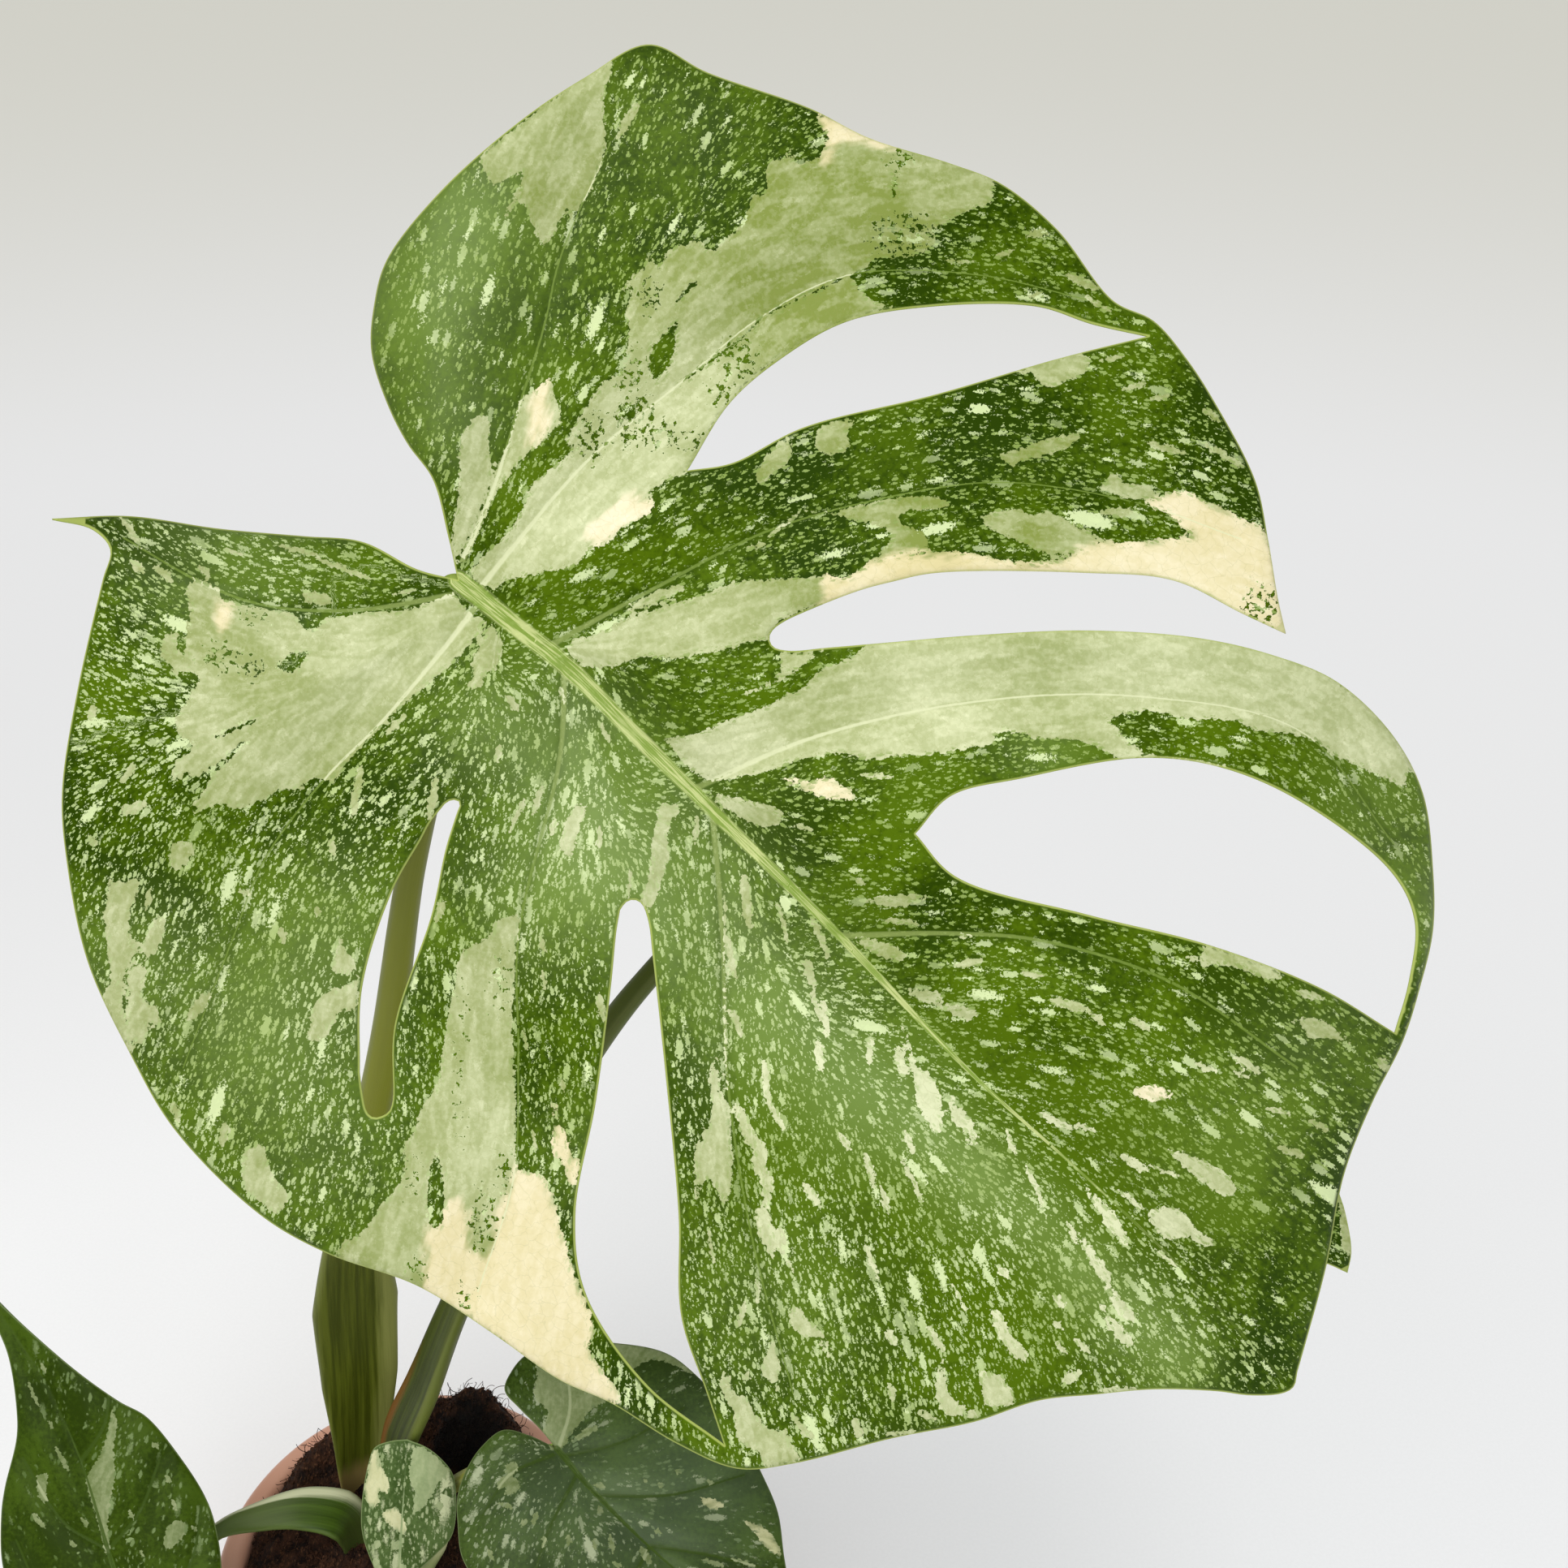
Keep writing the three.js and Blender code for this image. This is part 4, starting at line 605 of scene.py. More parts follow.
def sheet_points(drawn_lines, contour, holes, spacing):
    """The points of a blade's drawing: its edges first, then its lines, then an even pattern."""
    edges = []
    count = 0
    for loop in (contour, *holes):
        numbers = np.arange(count, count + len(loop))
        edges += list(zip(numbers, np.roll(numbers, -1)))
        count += len(loop)

    def placed(points, others, room):
        """The points that lie on the blade and clear of the others."""
        points = points[on_blade(points, contour, holes)]
        tree = tree_of(others)
        return points[np.array([tree.find((x, y, 0))[2] > room for x, y in points], bool)]

    all_points = np.vstack([contour, *holes])
    for line in drawn_lines:
        all_points = np.vstack([all_points, placed(line, all_points, 0.45 * spacing)])
    low, high = contour.min(axis=0), contour.max(axis=0)
    rows = []
    row_height = spacing * math.sqrt(0.75)
    for n, y in enumerate(np.arange(low[1], high[1], row_height)):
        x = np.arange(low[0] + (n % 2) * spacing / 2, high[0], spacing)
        rows.append(np.stack([x, np.full(len(x), y)], axis=1))
    pattern = placed(np.vstack(rows), all_points, 0.6 * spacing)
    return np.vstack([all_points, pattern]), edges


def triangulated(points, edges, contour, holes):
    # Spots of painted sheen, which lighten and grey the green of the heart-shaped leaf
    """The drawing's points with anticlockwise triangles over them, inside the outline only."""
    plain_edges = [(int(a), int(b)) for a, b in edges]
    found = delaunay_2d_cdt([Vector(p) for p in points], plain_edges, [], 0, 1e-5, False)
    corners = np.array([tuple(p) for p in found[0]])
    triangles = np.array([tuple(face) for face in found[2]])
    triangles = triangles[on_blade(corners[triangles].mean(axis=1), contour, holes)]
    a, b, c = corners[triangles].transpose(1, 0, 2)
    turned = (b[:, 0] - a[:, 0]) * (c[:, 1] - a[:, 1]) - (b[:, 1] - a[:, 1]) * (c[:, 0] - a[:, 0]) < 0
    triangles[turned] = triangles[turned][:, ::-1]
    used = np.unique(triangles)
    renumbered = np.zeros(len(corners), int)
    renumbered[used] = np.arange(len(used))
    return corners[used], renumbered[triangles]


def vertex_normals(points, triangles):
    """Each corner's normal, the mean of its triangles' by their area."""
    a, b, c = points[triangles].transpose(1, 0, 2)
    facing = np.cross(b - a, c - a)
    normals = np.zeros_like(points)
    for n in range(3):
        np.add.at(normals, triangles[:, n], facing)
    return normals / np.linalg.norm(normals, axis=1)[:, None]


def open_edges(triangles):
    """The directed edges that have no twin, where a sheet ends."""
    directed = np.vstack([triangles[:, [0, 1]], triangles[:, [1, 2]], triangles[:, [2, 0]]])
    size = triangles.max() + 1
    keys, twins = directed @ [size, 1], directed @ [1, size]
    return directed[~np.isin(keys, twins)]


def mesh_object(name, points, faces, materials, smooth=True):
    """A finished object at the origin, from points in millimetres."""
    mesh = bpy.data.meshes.new(name)
    mesh.from_pydata((np.asarray(points) * MM).tolist(), [], [list(map(int, face)) for face in faces])
    for material in materials:
        mesh.materials.append(material)
    mesh.polygons.foreach_set("use_smooth", [smooth] * len(mesh.polygons))
    mesh.update()
    thing = bpy.data.objects.new(name, mesh)
    bpy.context.scene.collection.objects.link(thing)
    return thing


def set_attribute(thing, name, values):
    """Keeps a value, or three, for each of the mesh's corners."""
    values = np.asarray(values, np.float32)
    kind, field = ("FLOAT", "value") if values.ndim == 1 else ("FLOAT_VECTOR", "vector")
    attribute = thing.data.attributes.new(name, kind, "POINT")
    attribute.data.foreach_set(field, values.ravel())


def on_sheet(leaf, pixels):
    """Pixels of the picture as points of a leaf's drawing."""
    return (np.asarray(pixels) - leaf["base_pixel"]) * [1, -1] * leaf["mm_per_pixel"]


def prepare(leaf, marks):
    """Adds a leaf's smooth lines and its marks, in millimetres."""
    spacing = leaf["spacing"]
    leaf["contour"] = closed_loop(leaf["edge"], spacing)
    leaf["holes"] = [closed_loop(slit, spacing) for slit in leaf["slits"]]
    leaf["midrib_line"] = respaced(smooth_curve(leaf["midrib"]), 3)
    leaf["vein_lines"] = [respaced(smooth_curve(vein), 3) for vein in leaf["veins"]]
    size = leaf["mm_per_pixel"]
    for kind in ("pale", "cream", "dark"):
        loops = [on_sheet(leaf, read_marks(text, 2)) for text in marks.get(kind, {}).values()]
        leaf[kind] = [smooth_curve(np.vstack([loop, loop[:1]]), 4)[:-1] for loop in loops]
    for kind in ("streaks", "dark_streaks"):
        rows = read_marks(marks.get(kind, ""), 5)
        leaf[kind] = [(on_sheet(leaf, row[:2]), on_sheet(leaf, row[2:4]), row[4] * size) for row in rows]
    rows = read_marks(marks.get("mottle", ""), 4)
    leaf["mottle"] = [(on_sheet(leaf, row[:2]), row[2:] * size) for row in rows]
    for kind in ("tone", "painted_sheen"):
        rows = read_marks(marks.get(kind, ""), 4)
        leaf[kind] = [(on_sheet(leaf, row[:2]), row[2] * size, row[3] / 100) for row in rows]


def mark_fields(leaf, drawn):
    """How far each point lies inside the pale marks, the cream ones and the patches of flecks."""
    outside = np.full(len(drawn), -float(MARK_REACH))
    cream, pale, mottle = outside.copy(), outside.copy(), outside.copy()
    for loop in leaf["cream"]:
        cream = np.maximum(cream, depth_in(drawn, loop))
    for loop in leaf["pale"]:
        pale = np.maximum(pale, depth_in(drawn, loop))
    for start, end, width in leaf["streaks"]:
        pale = np.maximum(pale, streak_depth(drawn, start, end, width))
    pale = np.maximum(pale, cream)
    for loop in leaf["dark"]:
        pale = np.minimum(pale, -depth_in(drawn, loop))
    for start, end, width in leaf["dark_streaks"]:
        pale = np.minimum(pale, -streak_depth(drawn, start, end, width))
    for middle, half in leaf["mottle"]:
        share = np.linalg.norm((drawn - middle) / half, axis=1)
        mottle = np.maximum(mottle, (1 - share) * half.min())
    return pale, np.minimum(cream, pale), mottle


def soft_spots(drawn, spots):
    """The sum of some soft spots: each has a middle, a reach and a strength."""
    tone = np.zeros(len(drawn))
    for middle, reach, amount in spots:
        tone += amount * np.exp(-((np.linalg.norm(drawn - middle, axis=1) / reach) ** 2))
    return tone


def blade_lines(leaf):
    """Every line that the blade's corners follow: its veins, its marks and its streaks."""
    step = leaf["spacing"]
    lines = [respaced(leaf["midrib_line"], step)]
    lines += [respaced(line, step) for line in leaf["vein_lines"]]
    lines += [respaced(np.array([start, end]), step)
              for start, end, _ in leaf["streaks"] + leaf["dark_streaks"]]
    lines += [respaced(np.vstack([loop, loop[:1]]), step)[:-1]
              for loop in [*leaf["pale"], *leaf["cream"], *leaf["dark"]]]
    return lines


def fine_relief(leaf, drawn, from_midrib, from_vein, from_rim):
    """The solid's relief, with a raised midrib, grooves over the veins and a rolled rim."""
    fading = np.clip(1 - np.linalg.norm(drawn, axis=1) / np.linalg.norm(leaf["midrib"][-1]), 0.12, 1)
    rib_half = leaf["rib_width"] * 0.8 * fading + 0.3
    relief = relief_of(leaf, drawn, from_midrib, from_vein)
    relief += VEIN_RIB * leaf["rib"] * fading * np.exp(-((from_midrib / rib_half) ** 2))
    relief -= VEIN_GROOVE * np.exp(-((from_vein / VEIN_HALF) ** 2)) * np.clip(from_rim / 6, 0, 1)
    return relief - RIM_ROLL * np.maximum(0, 4 - from_rim) ** 2


def two_sided(middle, triangles, half, rib):
    """A sheet's front, its ribbed back and the round edge between them.

    It gives the points, the faces, and which of the sheet's corners lie on its edge.
    """
    normals = vertex_normals(middle, triangles)
    front = middle + half[:, None] * normals
    back = middle - (half + rib)[:, None] * normals
    a, b = open_edges(triangles).T
    starts = np.unique(a)
    count = len(middle)
    slot_of = np.full(count, -1)
    slot_of[starts] = np.arange(len(starts))
    outward = np.zeros_like(middle)
    across = np.cross(middle[b] - middle[a], normals[a])
    np.add.at(outward, a, across)
    np.add.at(outward, b, across)
    outward = outward[starts] / np.linalg.norm(outward[starts], axis=1)[:, None]
    lip = middle[starts] + 0.55 * half[starts, None] * outward
    lip_a, lip_b = slot_of[a] + 2 * count, slot_of[b] + 2 * count
    faces = np.vstack([
        triangles, triangles[:, ::-1] + count,
        np.stack([b, a, lip_a], 1), np.stack([b, lip_a, lip_b], 1),
        np.stack([lip_b, lip_a, a + count], 1), np.stack([lip_b, a + count, b + count], 1)])
    return np.vstack([front, back, lip]), faces, starts


def blade(name, leaf, materials):
    """A closed blade: the same triangles on both faces, joined by a round edge."""
    contour, holes = leaf["contour"], leaf["holes"]
    points, edges = sheet_points(blade_lines(leaf), contour, holes, leaf["spacing"])
    drawn, triangles = triangulated(points, edges, contour, holes)
    from_midrib, from_vein, angle, side = vein_field(leaf, drawn)
    from_rim = rim_distance(drawn, [contour, *holes])
    middle = on_sight(leaf["base"], drawn, fine_relief(leaf, drawn, from_midrib, from_vein, from_rim))
    half = leaf["thickness"] / 2 * (1 - 0.6 * np.exp(-from_rim / RIM_WIDTH))
    rib = leaf["rib"] * np.exp(-((from_midrib / leaf["rib_width"]) ** 2))
    rib += VEIN_RIB * leaf["rib"] * np.exp(-((from_vein / (VEIN_HALF + 0.2)) ** 2))
    corners, faces, starts = two_sided(middle, triangles, half, rib)
    thing = mesh_object(name, corners, faces, materials)
    sides = np.zeros(len(faces), int)
    sides[len(triangles):2 * len(triangles)] = 1
    thing.data.polygons.foreach_set("material_index", sides)

    pale, cream, mottle = mark_fields(leaf, drawn)
    order = np.concatenate([np.arange(len(drawn)), np.arange(len(drawn)), starts])
    # Each corner keeps its painted sheen, its tone (partly painted light and shade), and its side of the
    # midrib
    shares = np.stack([
        np.clip(soft_spots(drawn, leaf["painted_sheen"]), 0, 1), soft_spots(drawn, leaf["tone"]),
        np.clip(0.5 - np.sign(side) * from_midrib / SIDE_BLEND, 0, 1)], 1)
    set_attribute(thing, "drawn", np.stack([drawn[:, 0], drawn[:, 1], angle], 1)[order])
    set_attribute(thing, "edges", np.stack([from_midrib, from_vein, from_rim], 1)[order])
    set_attribute(thing, "marks", np.stack([pale, cream, mottle], 1)[order])
    set_attribute(thing, "shades", shares[order])
    return thing


# Leaf stems: stations [x, y, z, width, thickness]

MAIN_STEM = dict(hollow=[0.5, -1, 0], wings=0.9, stations=[
    [-17, 18, 94, 13, 6], [-18, 20, 112, 14, 7], [-16, 23, 135, 19, 8], [-13, 23, 160, 24, 8.5],
    [-8.5, 20, 198, 26, 8.5], [-1.5, 14, 236, 17, 8], [9, 8, 276, 10.5, 8], [21.5, 0, 320, 8.5, 7.4],
    [35.5, -10, 374, 6.5, 6.2], [49, -18, 418, 6, 6], [56, -24, 444, 6.2, 6.2], [58, -28, 456, 6, 6]])
SECOND_STEM = dict(hollow=[-0.85, -0.6, 0.35], wings=0.6, stations=[
    [-6, 10, 94, 13, 6], [-6, 11, 112, 15, 6.5], [0, 12, 141, 17, 7], [11, 11, 169, 15, 7.5],
    [24, 10, 204, 11, 7.5], [48, 10, 259, 8.5, 7.5], [69, 12, 299, 7, 7], [85, 14, 323, 6.2, 6.2],
    [102, 16, 342, 5.6, 5.6], [110, 14.6, 346, 5, 5]])
LEFT_STEM = dict(hollow=[0.15, -0.35, 1], wings=0.7, stations=[
    [-15, 1, 94, 10, 5], [-15.5, 1, 110, 12, 5.5], [-19, 0, 121, 15, 6], [-30, -1, 125.5, 13, 6],
    [-43, -4, 126, 9, 5.2], [-55, -9, 125.5, 5, 4.8], [-63, -23, 125, 4.4, 4.4],
    [-66, -36, 125.5, 4, 4], [-66.6, -43, 127.6, 3.6, 3.6]])
RIGHT_STEM = dict(hollow=[-0.6, 0.2, 1], wings=0.5, stations=[
    [2, 3, 94, 8, 4.5], [5, 4, 110, 8, 4.5], [14, 4, 127, 7, 4.5], [28, -1, 145, 5, 4.4],
    [43, -7, 160, 4.4, 4.2], [51, -9.5, 165.5, 4, 4], [54.5, -10.2, 167.4, 3.6, 3.6]])
SMALL_STEM = dict(hollow=[0, 1, 0.2], wings=0.4, stations=[
    [-3, -5, 94, 6, 4], [-2, -10, 103, 5, 3.6], [0.5, -17, 109, 3.6, 3], [2.4, -19.8, 113.4, 3, 2.6]])
YOUNG_SHEATH = dict(hollow=[-0.4, 1, 0], wings=0.3, stations=[
    [6, -10, 98, 5, 4], [8.5, -13, 111, 6.5, 4.5], [14, -11, 121, 6, 4], [18.7, -8.4, 129, 1.6, 1.2]])


def kept_behind(points, leaf, gap):
    """The points again, with those before a leaf's back moved along the sight line to lie behind it."""
    reach = points - EYE
    depth = reach @ GAZE
    plane = (np.array(leaf["base"]) - EYE) @ GAZE
    on_plane = EYE + reach * (plane / depth)[:, None] - np.array(leaf["base"])
    drawn = np.stack([on_plane @ ACROSS, on_plane @ UPWARD], axis=1)
    from_midrib, from_vein, _, _ = vein_field(leaf, drawn)
    relief = relief_of(leaf, drawn, from_midrib, from_vein) - gap
    limit = plane - relief
    ahead = (depth < limit) & (rim_distance(drawn, [leaf["contour"]]) < 12)
    moved = points.copy()
    moved[ahead] = (EYE + reach * (limit / depth)[:, None])[ahead]
    return moved


def tube_faces(rings, sides):
    """The faces of a closed tube: its corners are its rings', then its foot's and its tip's middle."""
    last, foot, tip = (rings - 1) * sides, rings * sides, rings * sides + 1
    faces = []
    for k in range(sides):
        following = (k + 1) % sides
        for i in range(rings - 1):
            a, b = i * sides + k, i * sides + following
            faces.append([a, a + sides, b + sides, b])
        faces += [[following, k, foot], [last + k, last + following, tip]]
    return faces


def stem_piece(name, stem, material, leaf=None, sides=36, step=2.2):
    """A leaf stem, hollow on one side between two wings, and closed at both its ends."""
    stations = np.array(stem["stations"], float)
    path = smooth_curve(stations[:, :3], 24)
    share = np.linspace(0, 1, len(path))
    length = np.linalg.norm(np.diff(path, axis=0), axis=1).sum()
    places = np.linspace(0, 1, round(length / step) + 1)
    middle = np.stack([np.interp(places, share, path[:, n]) for n in range(3)], axis=1)
    along = np.gradient(middle, axis=0)
    along /= np.linalg.norm(along, axis=1)[:, None]
    stops = np.linspace(0, 1, len(stations))
    width, thickness = [np.interp(places, stops, stations[:, n]) for n in (3, 4)]
    sideways = np.cross(along, stem["hollow"])
    sideways /= np.linalg.norm(sideways, axis=1)[:, None]
    outward = np.cross(sideways, along)
    angles = np.linspace(0, 2 * math.pi, sides, endpoint=False)
    curl = stem["wings"] * (1 - places) ** 2 * thickness / 2
    lift = (thickness / 2)[:, None] * np.sin(angles) + curl[:, None] * (2 * np.cos(angles) ** 2 - 1)
    points = (middle[:, None] + sideways[:, None] * (width[:, None] / 2 * np.cos(angles))[..., None]
              + outward[:, None] * lift[..., None]).reshape(-1, 3)
    if leaf is not None:
        points = kept_behind(points, leaf, leaf["thickness"])
    rings = len(places)
    points = np.vstack([points, points[:sides].mean(axis=0), points[-sides:].mean(axis=0)])
    thing = mesh_object(name, points, tube_faces(rings, sides), [material])
    run = np.concatenate([[0], np.cumsum(np.linalg.norm(np.diff(middle, axis=0), axis=1))])
    around = np.tile(np.cos(angles), rings)
    above = np.tile(np.sin(angles), rings)
    place = np.stack([around * np.repeat(width, sides) / 2, above, np.repeat(run, sides)], axis=1)
    place = np.vstack([place, [0, 0, 0], [0, 0, run[-1]]])
    set_attribute(thing, "stem", place)
    wing = np.stack([around, np.repeat(run, sides) / run[-1], np.zeros(len(around))], axis=1)
    set_attribute(thing, "wing", np.vstack([wing, [0, 0, 0], [0, 1, 0]]))
    return thing


# Pot and coir

def inner_radius(z):
    """The radius of the pot's inside at a height."""
    slope = (POT_MOUTH_RADIUS - (POT_BASE_RADIUS - POT_WALL)) / (POT_HEIGHT - POT_FLOOR)
    return POT_MOUTH_RADIUS - slope * (POT_HEIGHT - z)


def lathed(name, profile, segments, materials):
    """A round closed piece from a profile of [radius, height] that starts and ends on the axis."""
    profile = np.array(profile, float)
    rings = profile[1:-1]
    angles = np.linspace(0, 2 * math.pi, segments, endpoint=False)
    points = [[0, 0, profile[0][1]], [0, 0, profile[-1][1]]]
    for radius, z in rings:
        points += [[radius * math.cos(a), radius * math.sin(a), z] for a in angles]
    faces = []
    for k in range(segments):
        following = (k + 1) % segments
        faces.append([0, 2 + following, 2 + k])
        for i in range(len(rings) - 1):
            a, b = 2 + i * segments + k, 2 + i * segments + following
            faces.append([a, b, b + segments, a + segments])
        last = 2 + (len(rings) - 1) * segments
        faces.append([1, last + k, last + following])
    return mesh_object(name, points, faces, materials)


def rounded(middle, radius, start, end, count=8):
    """Points of an arc in a profile, between two angles in degrees."""
    turns = np.radians(np.linspace(start, end, count))
    return [[middle[0] + radius * math.cos(t), middle[1] + radius * math.sin(t)] for t in turns]


def pot_piece(material):
    """The pot: thin wall, thick rolled rim, drain holes in its floor."""
    foot = POT_HEIGHT - RIM_DEPTH
    base_round, under_rim_round, rim_foot_round, floor_round = 1.6, 1.2, 2.4, 2
    wall_at_rim = inner_radius(foot) + POT_WALL
    profile = [
        [0, 0], [POT_BASE_RADIUS - 4, 0],
        *rounded((POT_BASE_RADIUS - base_round, base_round), base_round, -90, -8, 6),
        [wall_at_rim - 0.35, foot - 4],
        *rounded((wall_at_rim + under_rim_round, foot - under_rim_round), under_rim_round, 180, 90, 5),
        *rounded((POT_RIM_RADIUS - rim_foot_round, foot + rim_foot_round), rim_foot_round, -90, 0, 7),
        *rounded((POT_RIM_RADIUS - RIM_ROUND, POT_HEIGHT - RIM_ROUND), RIM_ROUND, 0, 90),
        *rounded((POT_MOUTH_RADIUS + RIM_ROUND, POT_HEIGHT - RIM_ROUND), RIM_ROUND, 90, 180),
        [inner_radius(POT_HEIGHT - 12), POT_HEIGHT - 12], [inner_radius(POT_FLOOR + 4), POT_FLOOR + 4],
        *rounded((inner_radius(POT_FLOOR + floor_round) - floor_round, POT_FLOOR + floor_round),
                 floor_round, 0, -90, 5), [0, POT_FLOOR]]
    pot = lathed("pot_shell", profile, 144, [material])
    drains = []
    for i in range(DRAIN_HOLES):
        angle = 2 * math.pi * (i + 0.25) / DRAIN_HOLES
        middle = np.array([DRAIN_CIRCLE * math.cos(angle), DRAIN_CIRCLE * math.sin(angle), 0])
        drain = lathed("drain", [[0, -5], [DRAIN_RADIUS, -5], [DRAIN_RADIUS, 9], [0, 9]], 32, [material])
        drain.data.transform(Matrix.Translation(middle * MM))
        drains.append(drain)
    for drain in drains:
        cut = pot.modifiers.new("drain", "BOOLEAN")
        cut.operation = "DIFFERENCE"
        cut.solver = "EXACT"
        cut.object = drain
    settled(pot)
    for drain in drains:
        bpy.data.objects.remove(drain)
    return pot


def settled(thing):
    """Turns an object's modifiers into its mesh."""
    depsgraph = bpy.context.evaluated_depsgraph_get()
    made = bpy.data.meshes.new_from_object(thing.evaluated_get(depsgraph), depsgraph=depsgraph)
    thing.modifiers.clear()
    thing.data = made


def coir_height(x, y):
    """The heap slopes up to the back, with two hills and the hollow behind the stems, where the coir is
    painted near black as shade.
    """
    heap = COIR_LEVEL + COIR_SLOPE * y
    for hill_x, hill_y, width, height in COIR_HILLS:
        heap += height * math.exp(-((x - hill_x) ** 2 + (y - hill_y) ** 2) / width**2)
    return heap + 1.3 * np.sin(0.31 * x + 1) * np.cos(0.27 * y) + 0.9 * np.sin(0.57 * x - 0.43 * y)


def coir_roughness(x, y):
    """The crumbly relief of the heap, in millimetres."""
    total = 0.0
    for size, height in ((7, 1.2), (2.6, 0.9), (1.1, 0.45)):
        total += height * noise.noise(Vector((x / size, y / size, size)))
    return total


def coir_piece(material):
    """The coir: it fills the pot and is heaped above the rim."""
    brim = POT_HEIGHT - 3
    foot = POT_FLOOR + COIR_GAP
    brim_radius = inner_radius(brim) - COIR_GAP
    segments, top_rings = 300, 60
    low = [[inner_radius(foot) - COIR_GAP - 3, foot], [inner_radius(foot + 3) - COIR_GAP, foot + 3],
           [inner_radius(brim / 2) - COIR_GAP, brim / 2], [brim_radius, brim]]
    shares = 1 - np.linspace(0, 1, top_rings, endpoint=False)[1:] ** 1.15
    profile = [[0, foot], *low, *[[share * brim_radius, brim + 1] for share in shares], [0, brim + 1]]
    coir = lathed("coir_heap", profile, segments, [material])
    top = np.zeros(len(coir.data.vertices))
    for vertex in coir.data.vertices:
        x, y, z = np.array(vertex.co) / MM
        inward = brim_radius - math.hypot(x, y)
        if z < brim + 0.5:
            continue
        shoulder = math.sqrt(1 - (1 - min(1, inward / COIR_SHOULDER)) ** 2)
        height = brim + shoulder * (coir_height(x, y) - brim + coir_roughness(x, y))
        vertex.co.z = height * MM
        top[vertex.index] = min(1, inward / 2)
    coir.data.update()
    set_attribute(coir, "heap", top)
    return coir


# Node trees

def colour(text):
    """A #rrggbb colour as the linear values that a socket takes."""
    parts = [int(text[n:n + 2], 16) / 255 for n in (1, 3, 5)]
    linear = [c / 12.92 if c <= 0.04045 else ((c + 0.055) / 1.055) ** 2.4 for c in parts]
    return (*linear, 1.0)


class Wiring:
    """Adds nodes to a tree and joins them."""

    def __init__(self, tree):
        self.tree = tree

    def node(self, kind, **settings):
        """A new node with its settings."""
        made = self.tree.nodes.new(kind)
        for name, value in settings.items():
            setattr(made, name, value)
        return made

    def put(self, socket, value):
        """Joins a socket to an output, or sets its value. None leaves it as it is."""
        if isinstance(value, bpy.types.NodeSocket):
            self.tree.links.new(value, socket)
        elif value is not None:
            socket.default_value = value

    def math(self, operation, a, b=None, c=None, clamp=False):
        """The result of an operation on up to three numbers."""
        made = self.node("ShaderNodeMath", operation=operation, use_clamp=clamp)
        for socket, value in zip(made.inputs, (a, b, c)):
            self.put(socket, value)
        return made.outputs[0]

    def step(self, value, low, high, to_low=0.0, to_high=1.0):
        """A smooth step of a value, from one number to another."""
        made = self.node("ShaderNodeMapRange", interpolation_type="SMOOTHSTEP")
        for socket, given in zip(made.inputs, (value, low, high, to_low, to_high)):
            self.put(socket, given)
        return made.outputs[0]

    def mix(self, share, a, b, clamp=True):
        """A colour between a and b, by the share that b has."""
        made = self.node("ShaderNodeMix", data_type="RGBA", clamp_factor=clamp)
        self.put(made.inputs[0], share)
        self.put(made.inputs[6], a)
        self.put(made.inputs[7], b)
        return made.outputs[2]

    def noise(self, vector, scale, detail=0.0, roughness=0.5, dimensions="3D", output=0):
        """Soft noise: output 0 is a number and output 1 holds three of them, as a colour."""
        made = self.node("ShaderNodeTexNoise", noise_dimensions=dimensions)
        given = {"Vector": vector, "Scale": scale, "Detail": detail, "Roughness": roughness}
        for name, value in given.items():
            self.put(made.inputs[name], value)
        return made.outputs[output]

    def vector(self, operation, *values):
        """The two results of an operation on vectors: a vector and a number."""
        made = self.node("ShaderNodeVectorMath", operation=operation)
        for socket, value in zip(made.inputs, values):
            self.put(socket, value)
        return made.outputs

    def place(self):
        """The point's place on the object, in metres."""
        return self.node("ShaderNodeTexCoord").outputs["Object"]

    def apart(self, vector):
        """A vector's three numbers."""
        made = self.node("ShaderNodeSeparateXYZ")
        self.put(made.inputs[0], vector)
        return made.outputs

    def together(self, x, y, z=0.0):
        """Three numbers as a vector."""
        made = self.node("ShaderNodeCombineXYZ")
        for socket, value in zip(made.inputs, (x, y, z)):
            self.put(socket, value)
        return made.outputs[0]

    def attribute(self, name):
        """Three values that the mesh keeps at each of its corners."""
        return self.node("ShaderNodeAttribute", attribute_name=name).outputs["Vector"]

    def group(self, tree, **values):
        """A group's outputs. Its inputs are given by their names, with _ for a space."""
        made = self.node("ShaderNodeGroup")
        made.node_tree = tree
        for name, value in values.items():
            self.put(made.inputs[name.replace("_", " ")], value)
        return made.outputs


def new_group(name, inputs, outputs):
    """An empty shader group with its sockets, and the wiring, inputs and outputs inside it."""
    tree = bpy.data.node_groups.new(name, "ShaderNodeTree")
    for label, kind, value in inputs:
        socket = tree.interface.new_socket(label, in_out="INPUT", socket_type=kind)
        if value is not None:
            socket.default_value = value
    for label, kind in outputs:
        tree.interface.new_socket(label, in_out="OUTPUT", socket_type=kind)
    wiring = Wiring(tree)
    return tree, wiring, wiring.node("NodeGroupInput").outputs, wiring.node("NodeGroupOutput").inputs


NUMBER, POINT = "NodeSocketFloat", "NodeSocketVector"
TURN_STEP = math.radians(12)


